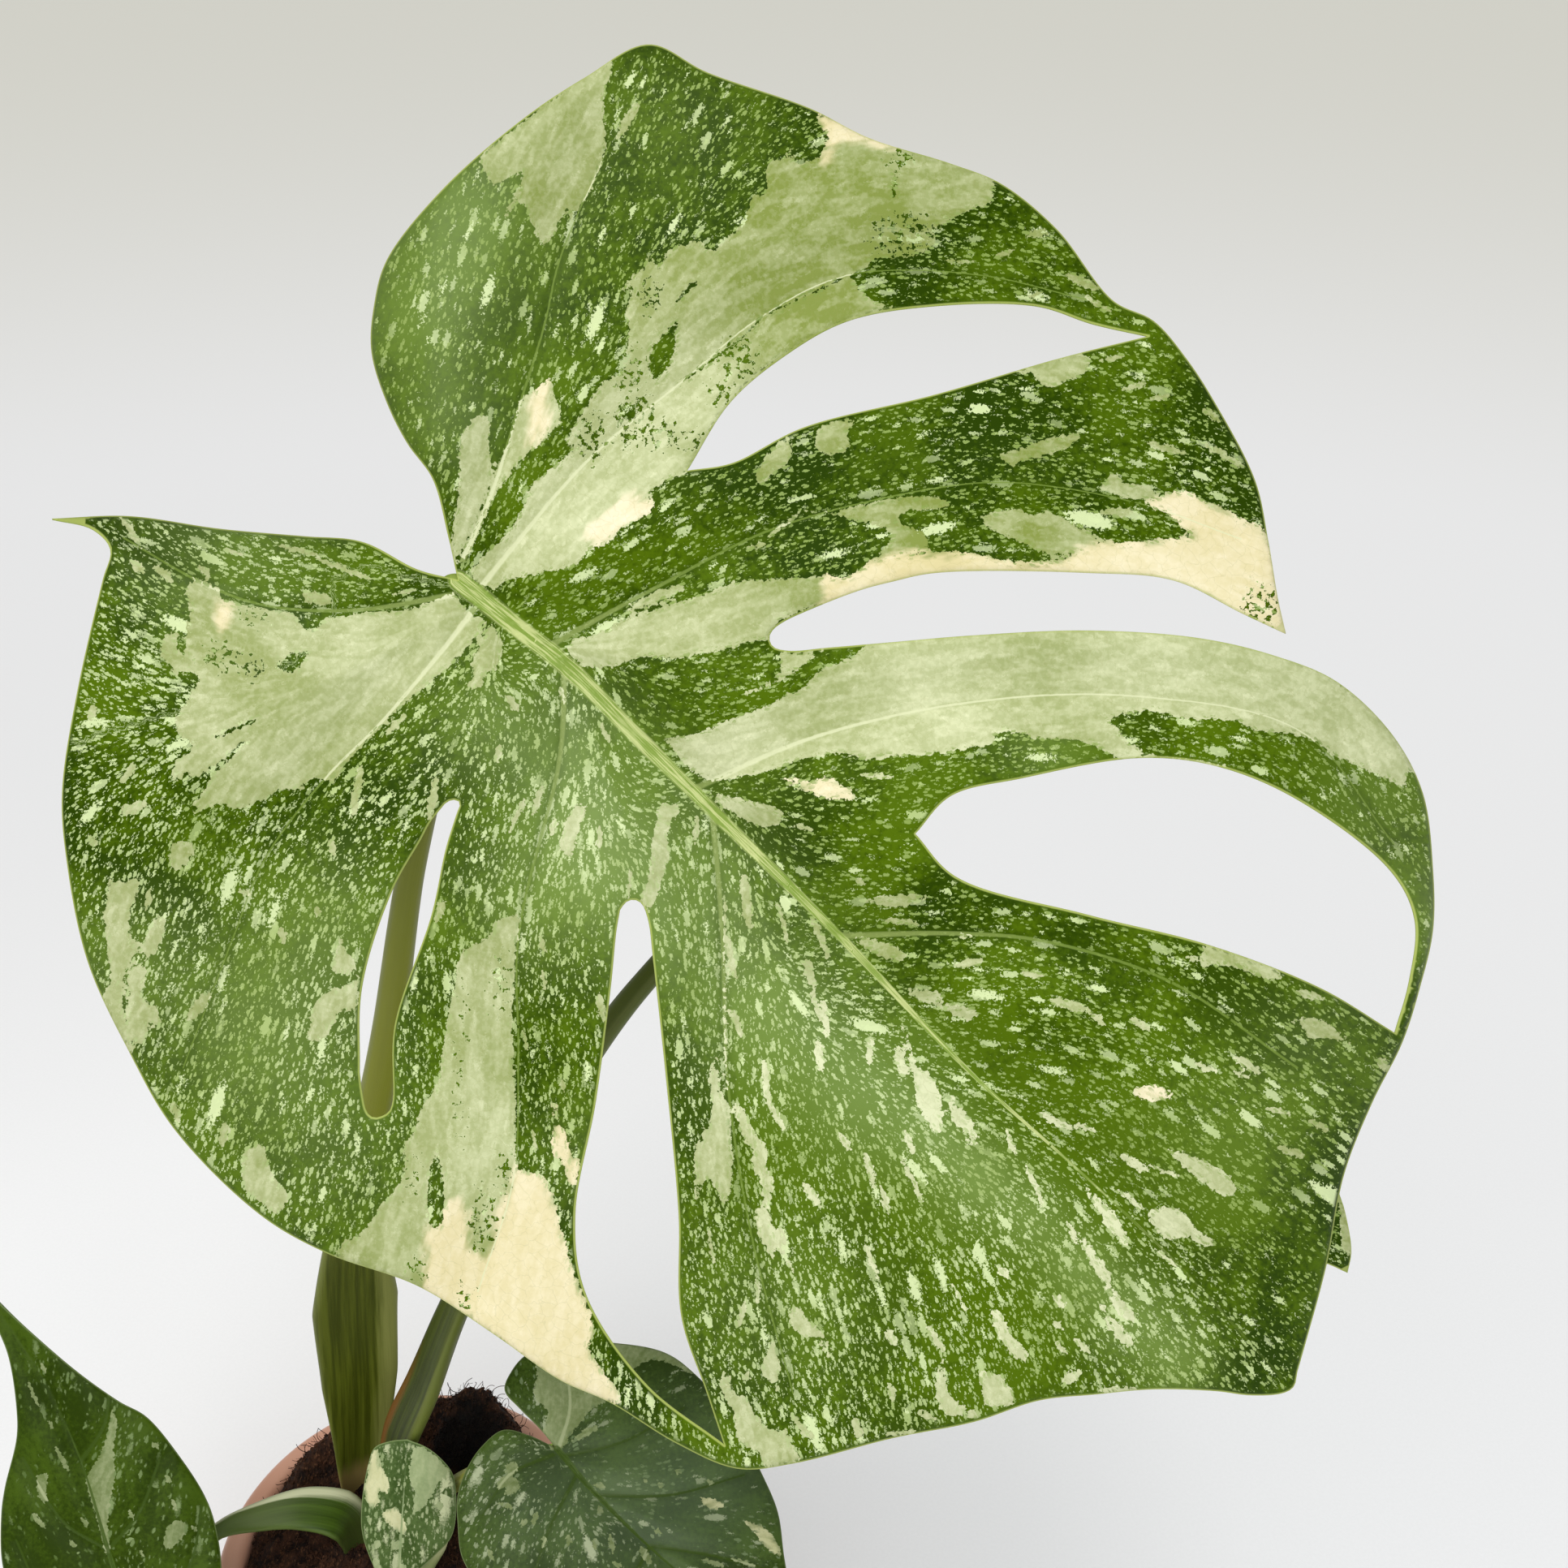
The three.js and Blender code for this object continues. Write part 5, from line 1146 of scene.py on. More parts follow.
def turned_both_ways(w, drawn, offset, stretch):
    """The drawing laid along the veins in the two nearest of some fixed directions, and their shares."""
    x, y, angle = w.apart(drawn)
    flat = w.together(w.math("ADD", x, offset), y)
    turns = w.math("DIVIDE", angle, TURN_STEP)
    whole = w.math("FLOOR", turns)
    rest = w.math("SUBTRACT", turns, whole)
    laid = []
    for extra in (0, 1):
        turn = w.math("MULTIPLY", w.math("ADD", whole, extra), -TURN_STEP)
        rotated = w.node("ShaderNodeVectorRotate", rotation_type="Z_AXIS")
        w.put(rotated.inputs["Vector"], flat)
        w.put(rotated.inputs["Angle"], turn)
        along, across, _ = w.apart(rotated.outputs[0])
        laid.append(w.together(w.math("DIVIDE", along, stretch), across))
    return laid, (w.math("SUBTRACT", 1.0, rest), rest)


def make_vein_noise():
    """Noise that is drawn out along the veins. Scale is per millimetre across them."""
    tree, w, given, out = new_group("vein_noise", [
        ("Drawn", POINT, None), ("Scale", NUMBER, 1.0), ("Stretch", NUMBER, 2.0), ("Detail", NUMBER, 0.0),
        ("Offset", NUMBER, 0.0)], [("Value", NUMBER)])
    laid, shares = turned_both_ways(w, given["Drawn"], given["Offset"], given["Stretch"])
    values = []
    for place in laid:
        value = w.noise(place, given["Scale"], given["Detail"], 0.6, "2D")
        values.append(w.math("SUBTRACT", value, 0.5))
    left, rest = shares
    blend = w.math("MULTIPLY_ADD", values[0], left, w.math("MULTIPLY", values[1], rest))
    size = w.math("SQRT", w.math("MULTIPLY_ADD", left, left, w.math("MULTIPLY", rest, rest)))
    w.put(out["Value"], w.math("ADD", w.math("DIVIDE", blend, size), 0.5))
    return tree


def make_flecks():
    """Ragged flecks along the veins, at most one in each cell. Cell and Ragged are in millimetres.

    Kept is the share of the cells that have a fleck. Reach is the largest half width in cells. The
    higher Fall is, the fewer flecks come near it.
    """
    tree, w, given, out = new_group("flecks", [
        ("Drawn", POINT, None), ("Jitter", POINT, None), ("Cell", NUMBER, 2.0), ("Stretch", NUMBER, 2.0),
        ("Kept", NUMBER, 0.6), ("Reach", NUMBER, 0.4), ("Fall", NUMBER, 4.0), ("Ragged", NUMBER, 0.5),
        ("Soft", NUMBER, 0.03), ("Offset", NUMBER, 0.0)],
        [("Mask", NUMBER), ("Tone", NUMBER)])
    laid, shares = turned_both_ways(w, given["Drawn"], given["Offset"], given["Stretch"])
    scale = w.math("DIVIDE", 1.0, given["Cell"])
    masks, tones = [], []
    for place, share in zip(laid, shares):
        spread = w.together(given["Ragged"], given["Ragged"])
        cells = w.node("ShaderNodeTexVoronoi", voronoi_dimensions="2D")
        w.put(cells.inputs["Vector"], w.vector("MULTIPLY_ADD", given["Jitter"], spread, place)[0])
        w.put(cells.inputs["Scale"], scale)
        chance, size, tone = w.apart(cells.outputs["Color"])
        reach = w.math("MULTIPLY_ADD", w.math("POWER", size, given["Fall"]), 0.8, 0.2)
        for factor in (given["Reach"], w.math("SQRT", share), w.math("LESS_THAN", chance, given["Kept"])):
            reach = w.math("MULTIPLY", reach, factor)
        inside = w.math("SUBTRACT", reach, cells.outputs["Distance"])
        fleck = w.step(inside, w.math("MULTIPLY", given["Soft"], -1.0), given["Soft"])
        masks.append(w.math("MULTIPLY", fleck, w.math("GREATER_THAN", reach, 0.001)))
        tones.append(w.math("MULTIPLY", tone, masks[-1]))
    w.put(out["Mask"], w.math("MAXIMUM", *masks))
    w.put(out["Tone"], w.math("MAXIMUM", *tones))
    return tree


def make_net():
    """A leaf's net of fine veins: dark lines on light tissue. The scale is per millimetre."""
    tree, w, given, out = new_group("fine_net", [("Drawn", POINT, None), ("Scale", NUMBER, 0.3)],
                                    [("Mask", NUMBER)])
    x, y, _ = w.apart(given["Drawn"])
    flat = w.together(x, y)
    wobble = w.noise(flat, 0.5, 2.0, 0.5, "2D")
    bent = w.together(w.math("MULTIPLY_ADD", wobble, 2.2, x), w.math("MULTIPLY_ADD", wobble, -1.6, y))
    cells = w.node("ShaderNodeTexVoronoi", feature="DISTANCE_TO_EDGE", voronoi_dimensions="2D")
    w.put(cells.inputs["Vector"], bent)
    w.put(cells.inputs["Scale"], given["Scale"])
    w.put(out["Mask"], w.step(cells.outputs["Distance"], 0.0, 0.05, 1.0, 0.0))
    return tree


def make_grain():
    """Fine unevenness of a surface: a height and a change of roughness. The scale is per metre."""
    tree, w, given, out = new_group("grain", [("Position", POINT, None), ("Scale", NUMBER, 900.0)],
                                    [("Height", NUMBER), ("Rough", NUMBER)])
    fine = w.noise(given["Position"], given["Scale"], 1.0, 0.6)
    broad = w.noise(given["Position"], w.math("MULTIPLY", given["Scale"], 0.07), 1.0, 0.55)
    w.put(out["Height"], fine)
    w.put(out["Rough"], w.math("MULTIPLY_ADD", broad, 0.6, w.math("MULTIPLY", fine, 0.4)))
    return tree


vein_noise = make_vein_noise()
flecks = make_flecks()
fine_net = make_net()
grain = make_grain()


def new_material(name, roughness, coat=0.0, specular=0.5):
    """A material with its wiring and its surface shader."""
    material = bpy.data.materials.new(name)
    material.use_nodes = True
    surface = material.node_tree.nodes["Principled BSDF"]
    surface.inputs["Roughness"].default_value = roughness
    surface.inputs["Coat Weight"].default_value = coat
    surface.inputs["Coat Roughness"].default_value = 0.35
    surface.inputs["Specular IOR Level"].default_value = specular
    return material, Wiring(material.node_tree), surface


def add_bump(w, surface, height, strength, distance):
    """Makes a height, with its full depth in metres, show in the shading."""
    made = w.node("ShaderNodeBump")
    made.inputs["Strength"].default_value = strength
    made.inputs["Distance"].default_value = distance
    w.put(made.inputs["Height"], height)
    w.put(surface.inputs["Normal"], made.outputs[0])


# Small, middle and large flecks, by the names of their group's inputs
FLECK_SIZES = (
    dict(Cell=0.85, Stretch=2.2, Kept=0.9, Reach=0.5, Fall=2.4, Ragged=0.6, Offset=0.0),
    dict(Cell=2.1, Stretch=2.9, Kept=0.62, Reach=0.46, Fall=4.0, Ragged=1.4, Offset=40.0),
    dict(Cell=5.6, Stretch=3.6, Kept=0.32, Reach=0.28, Fall=3.5, Ragged=2.2, Offset=90.0))


def fleck_layers(w, drawn, jitter, crowd, look):
    """Small, middle and large flecks, each as its mask and its tone."""
    layers = []
    for size in FLECK_SIZES:
        kept = w.math("MULTIPLY_ADD", crowd, size["Kept"], size["Kept"] * look["flecks"])
        values = dict(size, Cell=size["Cell"] * look["size"], Kept=kept, Soft=look["soft"])
        layers.append(w.group(flecks, Drawn=drawn, Jitter=jitter, **values))
    return layers


def tints(look):
    """A look's colours, by their names."""
    return {part: colour(value) for part, value in look.items() if isinstance(value, str)}


def green_tissue(w, layers, lit, painted_sheen, broad, left, inner, tint):
    """Green tissue under its painted sheen and its flecks."""
    small, middle, large = layers
    green = w.mix(lit, tint["deep"], tint["light"])
    # Painted sheen and painted light: the sheen spots mix the green towards a lighter grey-green
    green = w.mix(w.math("MULTIPLY", painted_sheen, 0.75), green, tint["painted_sheen"])
    fleck = w.mix(w.step(broad, 0.3, 0.6, 0.2, 0.9), tint["fleck_dark"], tint["fleck"])
    # Painted sheen: the small flecks are lighter left of the midrib, as under the sheen there
    left_sheen_speck = w.mix(w.math("MULTIPLY_ADD", left, 0.5, 0.15), tint["speck"], fleck)
    green = w.mix(w.math("MULTIPLY", small[0], w.math("MULTIPLY", inner, 0.85)), green, left_sheen_speck)
    strength = w.math("MULTIPLY_ADD", middle[1], 0.5, 0.45)
    green = w.mix(w.math("MULTIPLY", w.math("MULTIPLY", middle[0], strength), inner), green, fleck)
    return w.mix(w.math("MULTIPLY", large[0], w.math("MULTIPLY", inner, 0.9)), green, tint["fleck"])


def pale_tissue(w, drawn, waves, middle, tone, cream_share, tint):
    """Pale and cream tissue: clouded, streaked, and crossed by a fine net."""
    broad, streaked, fine = waves
    layered = w.math("MULTIPLY", w.step(streaked, 0.42, 0.62), 0.22)
    layered = w.math("MULTIPLY_ADD", w.step(broad, 0.35, 0.65), 0.2, layered)
    layered = w.math("MULTIPLY_ADD", middle[0], 0.16, layered)
    layered = w.math("MULTIPLY_ADD", w.step(fine, 0.42, 0.62), 0.14, layered)
    # The tone spots lighten and darken the pale tissue: partly its own tone, partly painted light and painted
    # shade
    layered = w.math("MINIMUM", w.math("MAXIMUM", w.math("ADD", layered, tone), -0.15), 1.0)
    light = w.mix(layered, tint["pale_dark"], tint["pale"], clamp=False)
    cream = w.mix(layered, tint["cream_dark"], tint["cream"], clamp=False)
    net = w.group(fine_net, Drawn=drawn, Scale=0.4)[0]
    return w.mix(w.math("MULTIPLY", net, 0.17), w.mix(cream_share, light, cream), tint["net"])


def with_veins(w, skin, share, from_midrib, from_vein, tint):
    """The skin with light veins, which thin out away from the midrib, and painted shade in the grooves along
    them.
    """
    thinning = w.math("EXPONENT", w.math("MULTIPLY", from_midrib, -0.03))
    vein_half = w.math("MULTIPLY_ADD", thinning, 0.85, 0.15)
    vein_share = w.step(from_vein, w.math("MULTIPLY", vein_half, 0.4), vein_half, 0.75, 0.0)
    vein_tint = w.mix(w.step(from_midrib, 5.0, 40.0, 0.35, 0.0), tint["rib"], tint["rib_light"])
    skin = w.mix(vein_share, skin, w.mix(share, vein_tint, tint["pale"]))
    # Painted shade: the green next to each vein is darkened, as the shade in its groove
    groove_shade = w.math("MULTIPLY", w.step(from_vein, 0.3, 2.2, 0.28, 0.0), w.math("SUBTRACT", 1.0, share))
    return w.mix(groove_shade, skin, tint["deep"])


def with_midrib(w, skin, x, y, from_midrib, look, tint):
    """The skin with the midrib, which narrows and fades towards the leaf's tip."""
    from_base = w.math("SQRT", w.math("MULTIPLY_ADD", x, x, w.math("MULTIPLY", y, y)))
    rib_half = w.step(from_base, 0.0, look["rib_reach"], look["rib_half"], 0.35)
    rib_share = w.math("SUBTRACT", 1.0, w.step(from_midrib, w.math("MULTIPLY", rib_half, 0.6), rib_half))
    fibres_in_rib = w.noise(w.together(from_midrib, w.math("MULTIPLY", from_base, 0.04)), 2.4, 2.0, 0.6, "2D")
    rib_tone = w.mix(w.step(fibres_in_rib, 0.4, 0.62), tint["rib"], tint["rib_light"])
    rib_shown = w.step(from_base, 0.85 * look["rib_reach"], 1.15 * look["rib_reach"], 0.9, 0.1)
    return w.mix(w.math("MULTIPLY", rib_share, rib_shown), skin, rib_tone)


def leaf_skin(w, look):
    """A blade's colour: green with flecks, pale and cream marks with ragged edges, ribs and a rim."""
    drawn = w.attribute("drawn")
    from_midrib, from_vein, from_rim = w.apart(w.attribute("edges"))
    pale_depth, cream_depth, mottle_depth = w.apart(w.attribute("marks"))
    painted_sheen, tone, left = w.apart(w.attribute("shades"))
    x, y, _ = w.apart(drawn)
    flat = w.together(x, y)
    tint = tints(look)

    jitter = w.vector("SUBTRACT", w.noise(flat, 1.5, 2.0, 0.65, "2D", output=1), (0.5, 0.5, 0.5))[0]
    density, shade, broad = w.apart(w.noise(flat, 0.045, 2.0, 0.5, "2D", output=1))
    fine = w.noise(flat, 0.8, 3.0, 0.6, "2D")
    streaked = w.group(vein_noise, Drawn=drawn, Scale=0.36, Stretch=2.7, Detail=2.0, Offset=25.0)[0]

    ragged = w.math("MULTIPLY", w.math("SUBTRACT", fine, 0.5), 2.0)
    pale_share = w.step(w.math("ADD", pale_depth, ragged), -0.06, 0.06)
    drift = w.math("MULTIPLY", w.math("SUBTRACT", streaked, 0.5), 5.0)
    cream_share = w.step(w.math("ADD", cream_depth, drift), -1.4, 1.2)

    crowd = w.math("MULTIPLY_ADD", density, 1.1, w.step(pale_depth, -9.0, 0.0, -0.55, -0.25))
    crowd = w.math("ADD", crowd, w.math("MULTIPLY_ADD", left, 0.25, -0.22))
    layers = fleck_layers(w, drawn, jitter, crowd, look)
    small, middle, _ = layers

    finer = w.math("MULTIPLY_ADD", streaked, 0.2, w.math("MULTIPLY", fine, 0.3))
    shade = w.math("MULTIPLY_ADD", shade, 0.5, finer)
    # The share of the lighter green: random, raised and lowered by the tone spots, which are partly painted
    # light and painted shade
    lit = w.math("MULTIPLY_ADD", tone, 1.2, w.step(shade, 0.38, 0.64), clamp=True)
    inner = w.step(from_rim, 0.3, 1.2)
    green = green_tissue(w, layers, lit, painted_sheen, broad, left, inner, tint)
    tissue = pale_tissue(w, drawn, (broad, streaked, fine), middle, tone, cream_share, tint)

    shore = w.step(mottle_depth, -1.6, 1.6, 0.72, 0.53)
    islands = w.math("MULTIPLY", w.step(w.math("SUBTRACT", fine, shore), -0.012, 0.012),
                     w.step(mottle_depth, -1.7, -1.2))
    crumbs = w.math("MULTIPLY", small[0], w.step(pale_depth, 0.2, 1.6, 0.8, 0.0))
    share = w.math("MULTIPLY", pale_share, w.math("SUBTRACT", 1.0, w.math("MAXIMUM", islands, crumbs)))
    skin = with_veins(w, w.mix(share, green, tissue), share, from_midrib, from_vein, tint)
    skin = with_midrib(w, skin, x, y, from_midrib, look, tint)
    rim_share = w.math("MULTIPLY", w.step(from_rim, 0.1, 0.42, 0.85, 0.0),
                       w.math("MULTIPLY_ADD", share, -0.5, 1.0))
    return w.mix(rim_share, skin, tint["rim"]), share, painted_sheen


def leaf_material(name, roughness, specular, look):
    """A blade's surface, by its skin and a fine grain."""
    material, w, surface = new_material(name, roughness, 0.0, specular)
    skin, share, painted_sheen = leaf_skin(w, look)
    w.put(surface.inputs["Base Color"], skin)
    # The sheen spots also give a clear coat, which reflects for real
    w.put(surface.inputs["Coat Weight"], w.math("MULTIPLY", painted_sheen, look["wax"]))
    height, rough = w.group(grain, Position=w.place(), Scale=1400.0)[:2]
    uneven = w.math("ADD", w.math("MULTIPLY", rough, 0.16), roughness - 0.08)
    w.put(surface.inputs["Roughness"], w.math("MULTIPLY_ADD", share, 0.06, uneven))
    add_bump(w, surface, height, 0.3, 0.08 * MM)
    return material


def stem_material(name, look):
    """A leaf stem: green drawn out lengthwise, striped on one side, tan at its foot, lighter above."""
    material, w, surface = new_material(name, 0.45, 0.05, 0.2)
    across, above, run = w.apart(w.attribute("stem"))
    side, along, _ = w.apart(w.attribute("wing"))
    tint = tints(look)
    laid = w.together(across, above, w.math("MULTIPLY", run, 0.03))
    lines = w.noise(laid, 0.55, 4.0, 0.6)
    fine = w.noise(laid, 2.6, 2.0, 0.55)
    unevenness = w.math("SUBTRACT", lines, 0.5)
    skin = w.mix(w.step(lines, 0.34, 0.66), tint["deep"], tint["light"])
    skin = w.mix(w.step(fine, 0.55, 0.8, 0.0, 0.2), skin, tint["edge"])
    skin = w.mix(w.step(along, 0.32, 0.55, 0.0, 0.85), skin, tint["upper"])
    striped = w.math("MULTIPLY_ADD", unevenness, 0.7, side)
    stripe = w.step(striped, look["stripe_from"], look["stripe_from"] + look["soft"])
    skin = w.mix(stripe, skin, tint["stripe"])
    margin = w.math("MULTIPLY_ADD", unevenness, 0.3, w.math("ABSOLUTE", side))
    skin = w.mix(w.step(margin, 0.82, 1.0, 0.0, 0.5), skin, tint["edge"])
    if "dry" in look:
        brown = w.math("MULTIPLY_ADD", w.math("SUBTRACT", fine, 0.5), 0.4, w.math("MULTIPLY", side, -1.0))
        sheathed = w.step(along, 0.22, 0.36, 1.0, 0.0)
        skin = w.mix(w.math("MULTIPLY", w.step(brown, 0.4, 0.7), sheathed), skin, tint["dry"])
    from_foot = w.math("MULTIPLY_ADD", unevenness, 8.0, run)
    skin = w.mix(w.step(from_foot, 20.0, 30.0, 0.85, 0.0), skin, tint["foot"])
    skin = w.mix(w.step(along, 0.95, 0.99), skin, tint["top"])
    w.put(surface.inputs["Base Color"], skin)
    height, rough = w.group(grain, Position=w.place(), Scale=1600.0)[:2]
    w.put(surface.inputs["Roughness"], w.math("MULTIPLY_ADD", rough, 0.2, 0.35))
    add_bump(w, surface, w.math("MULTIPLY_ADD", lines, 0.8, w.math("MULTIPLY", height, 0.15)), 0.4, 0.5 * MM)
    return material


def coir_material(name, dark, brown, light):
    """Moist coir with reddish and tan fibre, painted near black as shade around the hollow behind the stems.
    """
    material, w, surface = new_material(name, 0.9, 0.0, 0.25)
    position = w.place()
    clump = w.noise(position, 240.0, 4.0, 0.65)
    stretched = w.node("ShaderNodeMapping")
    stretched.inputs["Scale"].default_value = (1.0, 0.35, 0.5)
    stretched.inputs["Rotation"].default_value = (0.3, 0.2, 0.7)
    w.put(stretched.inputs["Vector"], position)
    fibre = w.noise(stretched.outputs[0], 1400.0, 3.0)
    skin = w.mix(w.step(clump, 0.35, 0.62), colour(dark), colour(brown))
    skin = w.mix(w.step(fibre, 0.56, 0.72, 0.0, 0.55), skin, colour(light))
    # Painted shade: around the hollow behind the stems the coir turns near black, as in the plant's shade
    from_hollow = w.vector("DISTANCE", position, [n * MM for n in SHADED_HOLLOW])[1]
    shade_distance = w.math("MULTIPLY_ADD", w.math("SUBTRACT", clump, 0.5), 12 * MM, from_hollow)
    skin = w.mix(w.step(shade_distance, 9 * MM, 18 * MM, 0.92, 0.0), skin, colour("#050302"))
    w.put(surface.inputs["Base Color"], skin)
    add_bump(w, surface, w.math("ADD", clump, fibre), 0.9, 0.8 * MM)
    return material


def pot_material():
    """Satin plastic: peach, with a faint cloud in its colour and very fine grain."""
    material, w, surface = new_material("pot_satin", 0.38, 0.15)
    position = w.place()
    cloud = w.noise(position, 18.0, 3.0, 0.5)
    skin = w.mix(w.step(cloud, 0.35, 0.65), colour("#d79c80"), colour("#dfa98e"))
    dust = w.noise(position, 700.0, 3.0, 0.7)
    skin = w.mix(w.step(dust, 0.66, 0.78, 0.0, 0.35), skin, colour("#c58a70"))
    w.put(surface.inputs["Base Color"], skin)
    height, rough = w.group(grain, Position=position, Scale=2200.0)[:2]
    w.put(surface.inputs["Roughness"], w.math("MULTIPLY_ADD", rough, 0.18, 0.32))
    add_bump(w, surface, height, 0.25, 0.15 * MM)
    return material


def bark_material():
    """The buried stem: tan, ringed and rough."""
    material, w, surface = new_material("stem_tan", 0.8)
    position = w.place()
    height = w.math("MULTIPLY", w.apart(position)[2], 900.0)
    rings = w.math("SINE", w.math("MULTIPLY_ADD", w.noise(position, 60.0, 2.0), 4.0, height))
    skin = w.mix(w.step(rings, -0.6, 0.8), colour("#7d6238"), colour("#b39a68"))
    w.put(surface.inputs["Base Color"], skin)
    add_bump(w, surface, rings, 0.5, 0.4 * MM)
    return material


# Loose coir on the heap, by geometry nodes

def scatter(name, source, material, build, values):
    """A mesh of small pieces spread over the source by a node tree with named inputs."""
    tree = bpy.data.node_groups.new(name, "GeometryNodeTree")
    tree.interface.new_socket("Geometry", in_out="INPUT", socket_type="NodeSocketGeometry")
    sockets = {}
    for label, value in values.items():
        kind = "NodeSocketInt" if isinstance(value, int) else "NodeSocketFloat"
        sockets[label] = tree.interface.new_socket(label, in_out="INPUT", socket_type=kind)
    tree.interface.new_socket("Geometry", in_out="OUTPUT", socket_type="NodeSocketGeometry")
    w = Wiring(tree)
    given = w.node("NodeGroupInput").outputs
    realized = w.node("GeometryNodeRealizeInstances")
    painted = w.node("GeometryNodeSetMaterial")
    w.put(realized.inputs[0], build(w, given))
    w.put(painted.inputs["Geometry"], realized.outputs[0])
    painted.inputs["Material"].default_value = material
    w.put(w.node("NodeGroupOutput").inputs[0], painted.outputs[0])

    carrier = bpy.data.objects.new(name + "_carrier", source.data.copy())
    bpy.context.scene.collection.objects.link(carrier)
    modifier = carrier.modifiers.new("scatter", "NODES")
    modifier.node_group = tree
    for label, value in values.items():
        modifier[sockets[label].identifier] = value
    settled(carrier)
    made = bpy.data.objects.new(name, carrier.data)
    bpy.context.scene.collection.objects.link(made)
    bpy.data.objects.remove(carrier)
    return made


def random_value(w, low, high, seed, kind="FLOAT"):
    """A random value between two others, for each point."""
    made = w.node("FunctionNodeRandomValue", data_type=kind)
    sockets = [s for s in made.inputs if s.enabled]
    w.put(sockets[0], low)
    w.put(sockets[1], high)
    w.put(made.inputs["Seed"], seed)
    return [s for s in made.outputs if s.enabled][0]


def spread_points(w, given):
    """Points on the open top of the heap."""
    points = w.node("GeometryNodeDistributePointsOnFaces")
    w.put(points.inputs["Mesh"], given["Geometry"])
    heap = w.node("GeometryNodeInputNamedAttribute", data_type="FLOAT")
    heap.inputs["Name"].default_value = "heap"
    density = w.math("MULTIPLY", given["Per square metre"], heap.outputs["Attribute"])
    w.put(points.inputs["Density"], density)
    w.put(points.inputs["Seed"], given["Seed"])
    return points.outputs["Points"]


def placed_on(w, points, shape, turns, sizes):
    """The shape set on every point, each with its own turn and size."""
    placed = w.node("GeometryNodeInstanceOnPoints")
    for name, value in (("Points", points), ("Instance", shape), ("Rotation", turns), ("Scale", sizes)):
        w.put(placed.inputs[name], value)
    return placed.outputs[0]


def build_crumbs(w, given):
    """Lumpy grains of coir, each half sunk in the heap."""
    lump = w.node("GeometryNodeMeshIcoSphere")
    lump.inputs["Subdivisions"].default_value = 1
    w.put(lump.inputs["Radius"], given["Grain radius"])
    centred = w.vector("SUBTRACT", w.noise(None, 1200.0, 2.0, output=1), (0.5, 0.5, 0.5))[0]
    depth = w.math("MULTIPLY", given["Grain radius"], 1.4)
    moved = w.node("GeometryNodeSetPosition")
    w.put(moved.inputs["Geometry"], lump.outputs["Mesh"])
    w.put(moved.inputs["Offset"], w.vector("SCALE", centred, None, None, depth)[0])
    turns = random_value(w, (0, 0, 0), (6.28, 6.28, 6.28), given["Seed"], "FLOAT_VECTOR")
    sizes = random_value(w, (0.35, 0.3, 0.25), (1.5, 1.2, 1.0), given["Seed"], "FLOAT_VECTOR")
    return placed_on(w, spread_points(w, given), moved.outputs["Geometry"], turns, sizes)


def build_fibres(w, given):
    """Short bent hairs of coir that stand and lie on the heap."""
    bow = w.node("GeometryNodeCurveQuadraticBezier")
    bow.inputs["Resolution"].default_value = 5
    bow.inputs["Start"].default_value = (0, 0, 0)
    for end, shares in (("Middle", (0.0, 0.25, 0.5)), ("End", (0.5, 0.0, 0.8))):
        w.put(bow.inputs[end], w.vector("SCALE", shares, None, None, given["Hair length"])[0])
    section = w.node("GeometryNodeCurvePrimitiveCircle")
    section.inputs["Resolution"].default_value = 3
    w.put(section.inputs["Radius"], given["Hair radius"])
    tube = w.node("GeometryNodeCurveToMesh")
    tube.inputs["Fill Caps"].default_value = True
    w.put(tube.inputs["Curve"], bow.outputs[0])
    w.put(tube.inputs["Profile Curve"], section.outputs[0])
    turns = random_value(w, (-1.5, -1.5, 0), (1.5, 1.5, 6.28), given["Seed"], "FLOAT_VECTOR")
    sizes = random_value(w, 0.4, 1.5, given["Seed"])
    return placed_on(w, spread_points(w, given), tube.outputs[0], turns, sizes)


# Materials of this plant

# In each look, the sheen colour is the grey-green that the spots of painted sheen mix into the green
SPLIT_LOOK = dict(
    deep="#294000", light="#516c06", painted_sheen="#7c9644", speck="#8ba34c", fleck="#dceab0", fleck_dark="#a2b868",
    pale="#e2e6ba", pale_dark="#98a462",
    cream="#fbf1d0", cream_dark="#e4d8a6", net="#98985a", rim="#b2bf66", rib="#8aa348", rib_light="#ccd58e",
    size=1.0, flecks=1.0, soft=0.03, wax=0.4, rib_half=2.4, rib_reach=175.0)
YOUNG_LOOK = dict(
    deep="#283a00", light="#40560e", painted_sheen="#66785a", speck="#50662c", fleck="#8a9c68", fleck_dark="#6a7e4c",
    pale="#a9b186", pale_dark="#6c7b48",
    cream="#dedbb0", cream_dark="#c0c08c", net="#7f8c58", rim="#6c7c4c", rib="#3d5218", rib_light="#4c6226",
    size=1.7, flecks=0.25, soft=0.12, wax=0.3, rib_half=1.3, rib_reach=60.0)
HEART_LOOK = dict(
    YOUNG_LOOK, light="#465c1c", speck="#5f7448", fleck="#b4bc98", fleck_dark="#7c8c62", size=1.4, flecks=0.4,
    soft=0.08)
MARBLED_LOOK = dict(
    deep="#3c5220", light="#566c38", painted_sheen="#76886a", speck="#869a64", fleck="#d0d6aa", fleck_dark="#98a878",
    pale="#bcc496", pale_dark="#8c9c6c",
    cream="#e0deb4", cream_dark="#c8c896", net="#9dad7c", rim="#8a9c66", rib="#8fa070", rib_light="#b0ba8c",
    size=1.5, flecks=0.85, soft=0.12, wax=0.2, rib_half=0.8, rib_reach=30.0)
